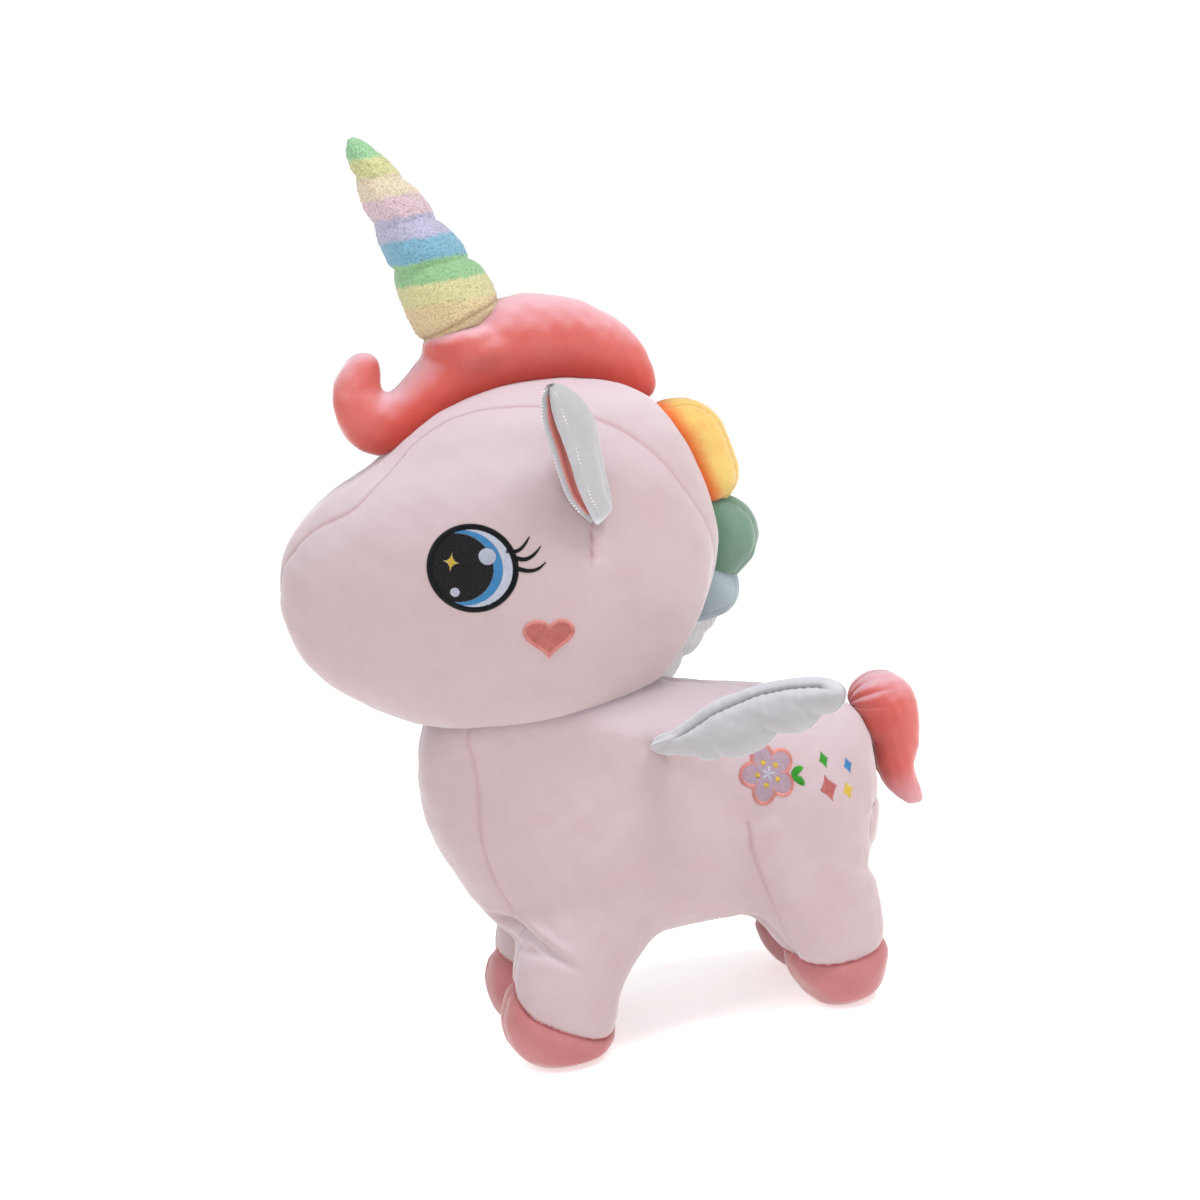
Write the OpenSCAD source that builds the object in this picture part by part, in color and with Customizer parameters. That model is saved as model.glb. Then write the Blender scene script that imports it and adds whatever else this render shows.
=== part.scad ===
// Plush unicorn, standing on four short legs with its head lifted and turned
// straight ahead.  The muzzle points along -X, the toy's left side is -Y and the
// soles rest on z = 0.  Every fabric panel is its own shell, sewn edge to edge to
// its neighbours, and each bag is filled with its own pad of loose fibre.

/* [Fabric] */
// Thickness of the short-pile plush fabric
fabric_t = 2; // [1.6:0.1:2.4]
// Loose fit between a skin and the filling inside it
fill_gap = 0.2; // [0.1:0.05:0.3]
// Height of the embroidery above the fabric
thread_t = 0.9; // [0.6:0.1:1.2]

/* [Body] */
// Height of the neck seam above the floor
neck_z = 220; // [216:1:224]
// Half width of the barrel
body_half_w = 79; // [76:1:82]
// Reach of the chest in front of the origin
chest_x = 131; // [128:1:134]
// Reach of the rump behind the origin
rump_x = 159.5; // [157:0.5:161]
// Distance of each leg from the middle plane
leg_y = 42; // [40:1:44]
// Half width of the belly gusset
gusset_half_w = 46; // [42:1:50]

/* [Head] */
// Height of the head from the neck seam to the crown
head_h = 200.5; // [196:0.5:204]
// Reach of the muzzle in front of the origin
muzzle_x = 193.5; // [190:0.5:196]
// Reach of the back of the head behind the origin
nape_x = 82; // [80:0.5:84]
// Half width of the head
head_half_w = 101; // [98:1:104]

/* [Horn] */
// Length of the horn along its axis
horn_len = 127; // [120:1:130]
// Radius of the horn at its widest
horn_r = 26.5; // [24:0.5:28]
// Forward lean of the horn
horn_lean = 18.5; // [15:0.5:22]
// Distance between two pinched turns of the horn
horn_pitch = 30; // [26:1:34]
// Depth of each pinched turn
horn_pinch = 1.8; // [1:0.1:2.4]

/* [Ears and wings] */
// Height of each ear from its foot to its tip
ear_len = 83; // [78:1:86]
// Thickness of one layer of an ear
ear_t = 2; // [1.6:0.1:2.2]
// Free gap between an ear and the side of the head
ear_gap = 2.5; // [2:0.1:3]
// Length of each wing from the root to the tip
wing_len = 142; // [136:1:146]
// Half thickness of the stuffed wing
wing_half_t = 8.5; // [7:0.5:9]
// Free gap where a limp piece folds against the toy
fold_gap = 1; // [0.8:0.1:1.4]

/* [Embroidery] */
// Radius of the embroidered eye
eye_r = 26; // [24:0.5:27]
// Width of the cheek heart
heart_w = 30; // [26:1:32]
// Radius of the flank blossom out to the petal tips
blossom_r = 17.5; // [15:0.5:18]

/* [Hidden] */
// Points round a skin section, and round the coarser filling section
skin_n = 26;
fill_n = 16;
// Centre of the eye, the cheek heart and the flank blossom, as x and z
eye_at = [-81.5, 322.5];
heart_at = [-45.5, 274];
blossom_at = [77, 159];

// Head sections from the neck seam up to the crown.  Each row holds the height,
// the front and rear reach and the half width as fractions of the head's own,
// the fullness at the nose and at the nape, and how many fabric thicknesses the
// filling stands back there.
head_rows = [
    [0.000, 0.615, 0.366, 0.713, 0.85, 0.85, 3.0],
    [0.030, 0.692, 0.520, 0.780, 0.84, 0.86, 3.0],
    [0.090, 0.790, 0.670, 0.860, 0.80, 0.88, 2.2],
    [0.180, 0.900, 0.830, 0.930, 0.74, 0.90, 1.4],
    [0.284, 0.972, 0.950, 0.980, 0.68, 0.92, 1.0],
    [0.400, 1.000, 1.000, 1.000, 0.64, 0.92, 1.0],
    [0.514, 0.995, 1.000, 1.000, 0.62, 0.92, 1.0],
    [0.613, 0.951, 0.963, 0.975, 0.62, 0.92, 1.0],
    [0.693, 0.878, 0.915, 0.930, 0.64, 0.92, 1.2],
    [0.758, 0.780, 0.854, 0.866, 0.68, 0.93, 1.5],
    [0.818, 0.640, 0.770, 0.780, 0.76, 0.94, 1.6],
    [0.883, 0.530, 0.646, 0.663, 0.86, 0.95, 1.6],
    [0.943, 0.430, 0.415, 0.495, 0.95, 1.00, 2.2],
    [0.983, 0.310, 0.120, 0.277, 1.00, 1.00, 3.0],
    [1.000, 0.200, -0.150, 0.090, 1.00, 1.00, 1.5]
];

// Barrel sections from the belly up to the neck seam: height, front reach, rear
// reach, half width as a fraction, fullness at the chest and rump, stand-back.
barrel_rows = [
    [64, 52, 84, 0.33, 1.00, 1.00, 4.0],
    [67, 74, 106, 0.56, 1.00, 1.00, 3.0],
    [76, 91, 130, 0.77, 1.10, 1.10, 2.0],
    [92, 103.5, 150, 0.90, 1.12, 1.18, 1.3],
    [112, 115, 157.5, 0.975, 1.06, 1.20, 1.0],
    [135, 124.5, 159, 1.00, 0.98, 1.14, 1.0],
    [158, 130.5, 159.5, 0.985, 0.92, 1.00, 1.0],
    [178, 131, 149, 0.965, 0.88, 0.84, 1.2],
    [192, 129, 120, 0.955, 0.86, 0.72, 1.6],
    [203, 126.5, 84, 0.940, 0.85, 0.66, 2.2],
    [212, 123, 50, 0.925, 0.85, 0.74, 2.8],
    [220, 119, 30, 0.911, 0.85, 0.85, 3.0]
];

// Leg sections from the sole up into the barrel: height, front x, rear x, half
// width, how far the leg draws in under the barrel, and stand-back.
front_leg_rows = [
    [0, -88, -56, 18, 0, 1.5],
    [3, -97.5, -49, 26, 0, 1.3],
    [9, -104, -42, 31, 0, 1.0],
    [20, -109.5, -37, 34, 0, 1.0],
    [35, -109.5, -33, 35, 0, 1.0],
    [50, -102, -24, 34.5, 0, 1.0],
    [66, -97, -8, 34.5, 1, 1.0],
    [85, -90, 10, 34, 3, 1.0],
    [104, -84, 14, 31, 6, 1.0],
    [122, -74, 6, 25, 10, 1.0],
    [138, -58, -10, 14, 16, 1.0]
];
hind_leg_rows = [
    [0, 93, 119, 18, 0, 1.5],
    [3, 86.5, 127, 26, 0, 1.3],
    [9, 82, 132.5, 31, 0, 1.0],
    [20, 77.5, 136.5, 34, 0, 1.0],
    [35, 75, 138, 35, 0, 1.0],
    [50, 67, 139.5, 35, 0, 1.0],
    [66, 57, 139.5, 35.5, 0, 1.0],
    [84, 50, 139, 36, 1, 1.0],
    [104, 48, 138, 34, 4, 1.0],
    [122, 54, 132, 28, 9, 1.0],
    [140, 70, 118, 15, 17, 1.0]
];

// Beads that a stuffed pad is blown up over: x, z, radius, side radius
forelock_beads = [
    [-117.5, 443, 10.5, 10],
    [-122.5, 432, 15.5, 14],
    [-122, 418, 18, 17],
    [-113, 408, 20, 19],
    [-92, 412, 18.5, 20],
    [-62, 429, 24.5, 23],
    [-25, 441, 31, 26],
    [8, 437, 29.5, 25],
    [32, 423, 22.5, 20],
    [45.5, 409, 13.5, 13]
];
yellow_beads = [[62, 372, 19, 20], [76, 368, 21, 21], [83, 345, 22, 21]];
green_beads = [[74, 312, 20, 20], [88, 302, 23.5, 21], [82, 292, 22, 20]];
blue_beads = [[66, 276, 19, 18], [74, 269, 20, 18], [62, 264, 17, 16]];
tail_beads = [
    [158, 179.5, 7.5, 7],
    [172.5, 173.5, 21, 19],
    [177, 152, 16.5, 15],
    [174, 130, 12.5, 12],
    [180, 113, 8.5, 8],
    [186, 105.5, 5, 5]
];
// Where the filling of the horn starts below its seam on the forelock
horn_sink = 16;
horn_base = [-52.5, 0, 463];

// Wing beads in the wing's own plane: along the span, across it, radius and
// half thickness.  Each feather joins a leading pair to one trailing lobe.
wing_lead = [
    [4, 3, 4, 0.45],
    [26, -5, 9, 0.85],
    [52, -9, 11, 1],
    [80, -10, 11.5, 1],
    [106, -7, 11.5, 1],
    [128, 1, 12, 0.95]
];
wing_trail = [
    [26, 6, 13, 0.7],
    [48, 11, 17.5, 0.8],
    [73, 13, 19.5, 0.85],
    [98, 12, 19.5, 0.85],
    [119, 8, 17, 0.85]
];
wing_root = [11, -75.5, 192];
wing_span = unit([0.66, -0.70, 0.26]);
wing_chord = unit(flat_to([-0.1, -0.40, -0.90], wing_span));
wing_flat = cross(wing_span, wing_chord);

// Ear frame: the foot where it is sewn to the head, the tip, the way its mouth
// faces and the way out from the head
ear_foot = [-5, -94, 338];
ear_tip = [-20, -117, 338 + ear_len];
ear_axis = unit(ear_tip - ear_foot);
ear_mouth = unit(flat_to([-0.91, -0.41, 0], ear_axis));
ear_side = cross(ear_axis, ear_mouth);
// Ear sections: share of the length, depth of the fold behind the two edges, half
// gap between the edges, and how far the edges stand forward of the axis
ear_rows = [
    [-0.06, 6, 4.5, 0.5],
    [0.04, 8, 6, 1],
    [0.14, 12, 7.5, 1.5],
    [0.34, 19, 9, 2.5],
    [0.62, 22.5, 9, 2],
    [0.80, 20, 8, 3],
    [0.91, 14.5, 6.5, 3],
    [0.97, 9, 4.5, 2],
    [1.00, 4.5, 3, 1]
];

// ---- small helpers -------------------------------------------------------
function unit(v) = v / norm(v);
function flat_to(v, axis) = v - (v * axis) * axis;
function ease(u) = let (c = max(0, min(1, u))) c * c * (3 - 2 * c);

// Smooth curve through four rows, at the share u between the middle two
function blend_rows(a, b, c, d, u) =
    0.5 * (2 * b + (c - a) * u + (2 * a - 5 * b + 4 * c - d) * u * u
        + (3 * b - a - 3 * c + d) * u * u * u);
function row_at(rows, i) = rows[max(0, min(len(rows) - 1, i))];
function smooth_rows(rows, steps) = [
    for (i = [0 : len(rows) - 2], j = [0 : steps - 1])
        blend_rows(row_at(rows, i - 1), rows[i], rows[i + 1],
            row_at(rows, i + 2), j / steps),
    rows[len(rows) - 1]
];

// One level section, from the nose round by the left side to the nape and back.
// full_f and full_r say how wide the two ends stay.
function section(z, xf, xr, w, full_f, full_r, y0, n) = [
    for (i = [0 : n - 1])
        let (
            t = 360 * i / n,
            s = (1 - cos(t)) / 2,
            f = full_f + (1 - full_f) * ease(s / 0.62),
            r = full_r + (1 - full_r) * ease((1 - s) / 0.5),
            side = sin(t) >= 0 ? 1 : -1
        )
        [xf + (xr - xf) * s, y0 - side * w * f * r * pow(abs(sin(t)), 0.86), z]
];

module loft(rings) {
    n = len(rings[0]);
    m = len(rings);
    polyhedron(
        points = [for (r = rings) each r],
        faces = [
            [for (i = [0 : n - 1]) i],
            for (k = [0 : m - 2], i = [0 : n - 1])
                [k * n + i, (k + 1) * n + i, (k + 1) * n + (i + 1) % n,
                    k * n + (i + 1) % n],
            [for (i = [n - 1 : -1 : 0]) (m - 1) * n + i]
        ]
    );
}

// ---- plain forms that the pieces are cut from ----------------------------
// inset moves the whole surface inwards, and a negative inset outwards.
function head_ring(row, inset, n, dz = 0) =
    let (
        k = inset > 0 ? row[6] : 1,
        d = inset * k,
        h = head_h - inset * (inset > 0 ? 1.5 : 1)
    )
    section(neck_z + h * row[0] + dz, -muzzle_x * row[1] + d,
        nape_x * row[2] - d, head_half_w * row[3] - d, row[4], row[5], 0, n);

module head_form(inset, n, steps, open = 0) {
    rows = smooth_rows(head_rows, steps);
    foot = open > 0 ? [head_ring(rows[0], inset, n, -open)] : [];
    loft([each foot, for (r = rows) head_ring(r, inset, n)]);
}

function barrel_ring(row, inset, n, dz = 0) =
    let (
        d = inset * (inset > 0 ? row[6] : 1),
        lift = inset * (1 - (row[0] - 64) / (neck_z - 64)) * 1.5
    )
    section(row[0] + lift + dz, -row[1] * chest_x / 131 + d,
        row[2] * rump_x / 159.5 - d, body_half_w * row[3] - d,
        row[4], row[5], 0, n);

module barrel_form(inset, n, steps, open = 0) {
    rows = smooth_rows(barrel_rows, steps);
    last = rows[len(rows) - 1];
    cap = open > 0 ? [barrel_ring(last, inset, n, open)] : [];
    loft([for (r = rows) barrel_ring(r, inset, n), each cap]);
}

function leg_ring(row, inset, n) =
    let (
        d = inset * (inset > 0 ? row[5] : 1),
        lift = inset * (1 - row[0] / 140),
        y0 = row[4] - leg_y
    )
    section(row[0] + lift, row[1] + d, row[2] - d, row[3] - d, 1, 1, y0, n);

module leg_form(rows, inset, n, steps) {
    loft([for (r = smooth_rows(rows, steps)) leg_ring(r, inset, n)]);
}

module both_sides() {
    children();
    mirror([0, 1, 0]) children();
}

module body_form(inset, n, leg_n, steps, open = 0) {
    barrel_form(inset, n, steps, open);
    both_sides() {
        leg_form(front_leg_rows, inset, leg_n, 1);
        leg_form(hind_leg_rows, inset, leg_n, 1);
    }
}

module body_skin() {
    difference() {
        body_form(0, skin_n, 14, 1);
        body_form(fabric_t, fill_n, 10, 1, 1);
    }
}

module head_skin() {
    difference() {
        head_form(0, skin_n, 1);
        head_form(fabric_t, fill_n, 1, 1);
    }
}

// A slab through the toy with its outline drawn in side view, between two y
module side_slab(outline, y1, y2) {
    translate([0, y2, 0])
        rotate([90, 0, 0])
            linear_extrude(y2 - y1) polygon(outline);
}

module front_hoof_zone() {
    side_slab([[-125, 69], [-103, 57], [-37, 21.5], [-22, 13.5], [-22, -4],
        [-125, -4]], -90, 90);
}

module hind_hoof_zone() {
    side_slab([[60, 38], [155, 36], [155, -4], [60, -4]], -90, 90);
}

// Side outline of the piece that runs down the chest, under the belly and up
// between the hind legs
module gusset_zone() {
    side_slab([[-140, 226], [-84, 226], [-84, 140], [-62, 112], [40, 100],
        [110, 104], [150, 118], [170, 118], [170, -6], [-140, -6]],
        -gusset_half_w, gusset_half_w);
}

// The head gusset runs from the chin over the muzzle and the crown to the nape
module head_gusset_zone() {
    half = [[-200, 24], [-160, 30], [-120, 40], [-70, 50], [-10, 52], [45, 47],
        [90, 34]];
    translate([0, 0, neck_z - 4])
        linear_extrude(head_h + 10)
            polygon([
                for (p = half) [p[0], -p[1]],
                for (i = [len(half) - 1 : -1 : 0]) half[i]
            ]);
}

module left_half() {
    translate([-300, -300, -10]) cube([600, 300, 700]);
}

module bead(b, inset, n) {
    translate([b[0], 0, b[1]])
        scale([b[2] - inset, b[3] - inset, b[2] - inset])
            sphere(1, $fn = n);
}

module bead_chain(beads, inset, n) {
    for (i = [0 : len(beads) - 2])
        hull() {
            bead(beads[i], inset, n);
            bead(beads[i + 1], inset, n);
        }
}

// ---- body ------------------------------------------------------------------
module body_side() {
    resize([0, 0, 0])
        difference() {
            intersection() {
                body_skin();
                left_half();
            }
            gusset_zone();
            front_hoof_zone();
            hind_hoof_zone();
        }
}

module body_left_panel() {
    color("#F0D6DD") body_side();
}

module body_right_panel() {
    color("#F0D6DD") mirror([0, 1, 0]) body_side();
}

module chest_belly_gusset() {
    color("#EFD2D8")
        resize([0, 0, 0])
            difference() {
                intersection() {
                    body_skin();
                    gusset_zone();
                }
                front_hoof_zone();
                hind_hoof_zone();
            }
}

module body_stuffing() {
    color("#FAFAFA")
        resize([0, 0, 0]) body_form(fabric_t + fill_gap, fill_n, 10, 1);
}

module hoof(rows) {
    resize([0, 0, 0])
        intersection() {
            difference() {
                leg_form(rows, 0, 14, 1);
                leg_form(rows, fabric_t, 10, 1);
            }
            children();
        }
}

module front_left_hoof() {
    color("#E98A90") hoof(front_leg_rows) front_hoof_zone();
}

module front_right_hoof() {
    color("#E98A90") mirror([0, 1, 0]) hoof(front_leg_rows) front_hoof_zone();
}

module hind_left_hoof() {
    color("#E98A90") hoof(hind_leg_rows) hind_hoof_zone();
}

module hind_right_hoof() {
    color("#E98A90") mirror([0, 1, 0]) hoof(hind_leg_rows) hind_hoof_zone();
}

// ---- head ------------------------------------------------------------------
module head_side() {
    resize([0, 0, 0])
        difference() {
            intersection() {
                head_skin();
                left_half();
            }
            head_gusset_zone();
        }
}

module head_left_panel() {
    color("#F0D6DD") head_side();
}

module head_right_panel() {
    color("#F0D6DD") mirror([0, 1, 0]) head_side();
}

module head_gusset() {
    color("#F2DAE0")
        resize([0, 0, 0])
            intersection() {
                head_skin();
                head_gusset_zone();
            }
}

module head_stuffing() {
    color("#FAFAFA")
        resize([0, 0, 0]) head_form(fabric_t + fill_gap, fill_n, 1);
}

// ---- horn ------------------------------------------------------------------
// Radius of the plain horn at the height s above its seam, in shares of length
function horn_radius(s) = s < 0 ? horn_r : horn_r * (1 - 0.80 * pow(s, 1.12));
function horn_ring(h, n, inset) = [
    for (i = [0 : n - 1])
        let (
            t = 360 * i / n,
            s = h / horn_len,
            turn = (h - 10) / horn_pitch + (t - 270) / 360,
            pinch = horn_pinch * pow(0.5 + 0.5 * cos(360 * turn), 4),
            tip = s > 0.9 ? sqrt(max(0.02, 1 - pow((s - 0.9) / 0.1, 2))) : 1,
            fade = ease((1 - s) / 0.3),
            r = (horn_radius(s) - pinch * fade) * tip - inset,
            bow = -6 * s * s
        )
        [max(0.6, r) * cos(t) + bow, max(0.6, r) * sin(t), h]
];

module horn_form(inset, n, rings) {
    top = horn_len - inset * 1.6;
    translate(horn_base)
        rotate([0, -horn_lean, 0])
            loft([
                for (k = [0 : rings])
                    horn_ring(-horn_sink + (top + horn_sink) * k / rings, n, inset)
            ]);
}

module horn_cover() {
    color("#CFE3C4")
        resize([0, 0, 0])
            difference() {
                horn_form(0, 14, 25);
                translate([0, 0, -0.6]) horn_form(fabric_t, 10, 9);
                bead_chain(forelock_beads, 0, 14);
            }
}

module horn_stuffing() {
    color("#FAFAFA")
        resize([0, 0, 0])
            difference() {
                translate([0, 0, -0.6]) horn_form(fabric_t + fill_gap, 10, 9);
                bead_chain(forelock_beads, 0, 14);
            }
}

// ---- forelock and mane lobes -------------------------------------------------
module pad_half(beads) {
    resize([0, 0, 0])
        difference() {
            intersection() {
                bead_chain(beads, 0, 14);
                left_half();
            }
            bead_chain(beads, fabric_t, 10);
            head_form(0, skin_n, 1);
            children();
        }
}

module pad_filling(beads) {
    resize([0, 0, 0])
        difference() {
            bead_chain(beads, fabric_t + fill_gap, 10);
            head_form(0, skin_n, 1);
            children();
        }
}

module forelock_left_panel() {
    color("#E8929A") pad_half(forelock_beads);
}

module forelock_right_panel() {
    color("#E8929A") mirror([0, 1, 0]) pad_half(forelock_beads);
}

module forelock_stuffing() {
    color("#FAFAFA") pad_filling(forelock_beads);
}

module mane_yellow_left_panel() {
    color("#FFD873") pad_half(yellow_beads) bead_chain(forelock_beads, 0, 14);
}

module mane_yellow_right_panel() {
    color("#FFD873") mirror([0, 1, 0])
        pad_half(yellow_beads) bead_chain(forelock_beads, 0, 14);
}

module mane_yellow_stuffing() {
    color("#FAFAFA")
        pad_filling(yellow_beads) bead_chain(forelock_beads, 0, 14);
}

module mane_green_left_panel() {
    color("#8FB7A0") pad_half(green_beads) bead_chain(yellow_beads, 0, 14);
}

module mane_green_right_panel() {
    color("#8FB7A0") mirror([0, 1, 0])
        pad_half(green_beads) bead_chain(yellow_beads, 0, 14);
}

module mane_green_stuffing() {
    color("#FAFAFA") pad_filling(green_beads) bead_chain(yellow_beads, 0, 14);
}

module mane_blue_left_panel() {
    color("#9FB9C4") pad_half(blue_beads) bead_chain(green_beads, 0, 14);
}

module mane_blue_right_panel() {
    color("#9FB9C4") mirror([0, 1, 0])
        pad_half(blue_beads) bead_chain(green_beads, 0, 14);
}

module mane_blue_stuffing() {
    color("#FAFAFA") pad_filling(blue_beads) bead_chain(green_beads, 0, 14);
}

// ---- ears --------------------------------------------------------------------
// Each ear is a leaf folded along its middle with its mouth facing forward.  A
// layer lies between two depths, counted in fabric thicknesses from the outside.
function ear_point(row, layer, turn) =
    let (
        t = layer * min(ear_t, row[2] * 0.3),
        depth = max(0.6, row[1] - t) * cos(turn),
        gap = max(0.4, row[2] - t) * sin(turn)
    )
    ear_foot + (ear_tip - ear_foot) * row[0] + ear_mouth * (row[3] - depth)
        + ear_side * gap;
function ear_ring(row, outer, inner, n) = [
    for (k = [0 : n]) ear_point(row, outer, 90 - 180 * k / n),
    for (k = [n : -1 : 0]) ear_point(row, inner, 90 - 180 * k / n)
];

module ear_layer(outer, inner) {
    resize([0, 0, 0])
        difference() {
            loft([for (r = ear_rows) ear_ring(r, outer, inner, 9)]);
            head_form(-ear_gap, skin_n, 1);
        }
}

module ear_lining() {
    color("#E07A78") ear_layer(1.05, 2);
}

module ear_back() {
    color("#F4F2F4") ear_layer(0, 1);
}

module left_ear_lining() {
    ear_lining();
}

module left_ear_back() {
    ear_back();
}

module right_ear_lining() {
    mirror([0, 1, 0]) ear_lining();
}

module right_ear_back() {
    mirror([0, 1, 0]) ear_back();
}

// ---- wings -------------------------------------------------------------------
module place_wing() {
    multmatrix([
        [wing_span[0], wing_chord[0], wing_flat[0], wing_root[0]],
        [wing_span[1], wing_chord[1], wing_flat[1], wing_root[1]],
        [wing_span[2], wing_chord[2], wing_flat[2], wing_root[2]]
    ]) children();
}

module wing_bead(b, inset, n) {
    k = wing_len / 142;
    translate([b[0] * k, b[1], 0])
        scale([b[2] - inset, b[2] - inset, wing_half_t * b[3] - inset])
            sphere(1, $fn = n);
}

module wing_form(inset, n) {
    for (i = [0 : len(wing_trail) - 1])
        hull() {
            wing_bead(wing_lead[i], inset, n);
            wing_bead(wing_lead[i + 1], inset, n);
            wing_bead(wing_trail[i], inset, n);
        }
}

module wing_panel(low) {
    resize([0, 0, 0])
        place_wing()
            difference() {
                intersection() {
                    wing_form(0, 10);
                    translate([-20, -60, low]) cube([200, 120, 30]);
                }
                wing_form(fabric_t * 0.8, 8);
            }
}

module wing_outer() {
    color("#F6F6F8") wing_panel(-30);
}

module wing_inner() {
    color("#F1F1F4") wing_panel(0);
}

module wing_stuffing() {
    color("#FAFAFA")
        resize([0, 0, 0]) place_wing() wing_form(fabric_t * 0.8 + fill_gap, 8);
}

module left_wing_outer() {
    wing_outer();
}

module left_wing_inner() {
    wing_inner();
}

module left_wing_stuffing() {
    wing_stuffing();
}

module right_wing_outer() {
    mirror([0, 1, 0]) wing_outer();
}

module right_wing_inner() {
    mirror([0, 1, 0]) wing_inner();
}

module right_wing_stuffing() {
    mirror([0, 1, 0]) wing_stuffing();
}

// ---- tail --------------------------------------------------------------------
module tail_side() {
    resize([0, 0, 0])
        difference() {
            intersection() {
                bead_chain(tail_beads, 0, 14);
                left_half();
            }
            bead_chain(tail_beads, fabric_t, 10);
            barrel_form(-fold_gap, skin_n, 1);
        }
}

module tail_left_panel() {
    color("#E8929A") tail_side();
}

module tail_right_panel() {
    color("#E8929A") mirror([0, 1, 0]) tail_side();
}

module tail_stuffing() {
    color("#FAFAFA")
        resize([0, 0, 0])
            difference() {
                bead_chain(tail_beads, fabric_t + fill_gap, 10);
                barrel_form(-fold_gap, skin_n, 1);
            }
}

// ---- embroidery ----------------------------------------------------------------
// Thread lies on the skin, inside an outline drawn in side view about a centre.
module on_head(at) {
    resize([0, 0, 0])
        intersection() {
            difference() {
                head_form(-thread_t, skin_n, 1);
                head_form(-0.05, skin_n, 1);
            }
            translate([at[0], 0, at[1]])
                rotate([90, 0, 0])
                    linear_extrude(160) children();
        }
}

module on_flank(at) {
    resize([0, 0, 0])
        intersection() {
            difference() {
                barrel_form(-thread_t, skin_n, 1);
                barrel_form(-0.05, skin_n, 1);
            }
            translate([at[0], 0, at[1]])
                rotate([90, 0, 0])
                    linear_extrude(160) children();
        }
}

module disc(x, y, r, n = 24) {
    translate([x, y]) circle(r, $fn = n);
}

// A stroke that starts wide and curls up to a point
module lash(from, reach, lift, curl, w) {
    steps = 3;
    mid = [for (k = [0 : steps]) let (u = k / steps)
        from + [reach * u, lift * u + curl * u * u]];
    polygon([
        for (k = [0 : steps]) mid[k] + [0, w / 2 * (1 - k / steps) + 0.2],
        for (k = [steps : -1 : 0]) mid[k] - [0, w / 2 * (1 - k / steps) + 0.2]
    ]);
}

module diamond(x, y, w, h) {
    translate([x, y])
        polygon([[w / 2, 0], [w * 0.1, h * 0.14], [0, h / 2], [-w * 0.1, h * 0.14],
            [-w / 2, 0], [-w * 0.1, -h * 0.14], [0, -h / 2], [w * 0.1, -h * 0.14]]);
}

module eye_iris() {
    disc(0, 0, eye_r * 0.87, 24);
}

module eye_pupil() {
    disc(-eye_r * 0.22, eye_r * 0.06, eye_r * 0.72, 22);
}

module eye_blue_edge() {
    disc(-eye_r * 0.12, eye_r * 0.05, eye_r * 0.82, 22);
}

module eye_lights() {
    disc(eye_r * 0.36, eye_r * 0.36, eye_r * 0.20, 16);
    disc(-eye_r * 0.42, -eye_r * 0.50, eye_r * 0.11, 12);
}

module eye_star() {
    diamond(-eye_r * 0.52, eye_r * 0.22, eye_r * 0.36, eye_r * 0.52);
}

module eye_blue() {
    difference() {
        intersection() {
            eye_blue_edge();
            eye_iris();
        }
        eye_pupil();
        eye_lights();
    }
}

module eye_white() {
    difference() {
        eye_iris();
        eye_blue_edge();
        eye_pupil();
        eye_lights();
    }
    eye_lights();
}

module eye_black() {
    difference() {
        union() {
            disc(0, 0, eye_r, 26);
            lash([eye_r * 0.86, eye_r * 0.30], 14, -1, 5, 3.4);
            lash([eye_r * 0.80, eye_r * 0.46], 13, 3, 5, 3.2);
            lash([eye_r * 0.66, eye_r * 0.66], 10, 6, 5, 3);
        }
        difference() {
            eye_iris();
            eye_pupil();
        }
        eye_lights();
        eye_star();
    }
}

module eye_black_thread() {
    color("#17171A") on_head(eye_at) eye_black();
}

module eye_blue_thread() {
    color("#4C9BE0") on_head(eye_at) eye_blue();
}

module eye_white_thread() {
    color("#E6EAF0") on_head(eye_at) eye_white();
}

module eye_star_thread() {
    color("#F2DA5A") on_head(eye_at) eye_star();
}

module left_eye_black_thread() {
    eye_black_thread();
}

module left_eye_blue_thread() {
    eye_blue_thread();
}

module left_eye_white_thread() {
    eye_white_thread();
}

module left_eye_star_thread() {
    eye_star_thread();
}

module right_eye_black_thread() {
    mirror([0, 1, 0]) eye_black_thread();
}

module right_eye_blue_thread() {
    mirror([0, 1, 0]) eye_blue_thread();
}

module right_eye_white_thread() {
    mirror([0, 1, 0]) eye_white_thread();
}

module right_eye_star_thread() {
    mirror([0, 1, 0]) eye_star_thread();
}

module cheek_heart() {
    r = heart_w * 0.27;
    color("#D98A86")
        on_head(heart_at)
            union() {
                disc(-r * 0.86, r * 0.55, r, 16);
                disc(r * 0.86, r * 0.55, r, 16);
                polygon([[-r * 1.78, r * 0.15], [0, -r * 1.75], [r * 1.78, r * 0.15],
                    [0, r * 1.1]]);
            }
}

module left_cheek_heart() {
    cheek_heart();
}

module right_cheek_heart() {
    mirror([0, 1, 0]) cheek_heart();
}

module petals(shrink) {
    for (k = [0 : 4])
        rotate(100 + 72 * k)
            translate([blossom_r * 0.53, 0])
                circle(blossom_r * 0.47 - shrink, $fn = 14);
}

module stamens() {
    for (k = [0 : 4])
        rotate(64 + 72 * k) translate([6, 0]) circle(1.6, $fn = 6);
}

module leaf(turn) {
    rotate(turn)
        translate([10, 0])
            scale([1, 0.42]) circle(6.2, $fn = 10);
}

module blossom_petals() {
    color("#CDBACD")
        on_flank(blossom_at)
            difference() {
                petals(1.8);
                stamens();
            }
}

module flank_coral_thread() {
    color("#DD7F82")
        on_flank(blossom_at) {
            difference() {
                petals(0);
                petals(1.8);
                disc(0, 0, 6, 16);
            }
            diamond(35.5, -17.5, 8.5, 17);
        }
}

module flank_yellow_thread() {
    color("#F0CC55")
        on_flank(blossom_at) {
            stamens();
            diamond(48.5, -20.5, 6, 10);
        }
}

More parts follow.
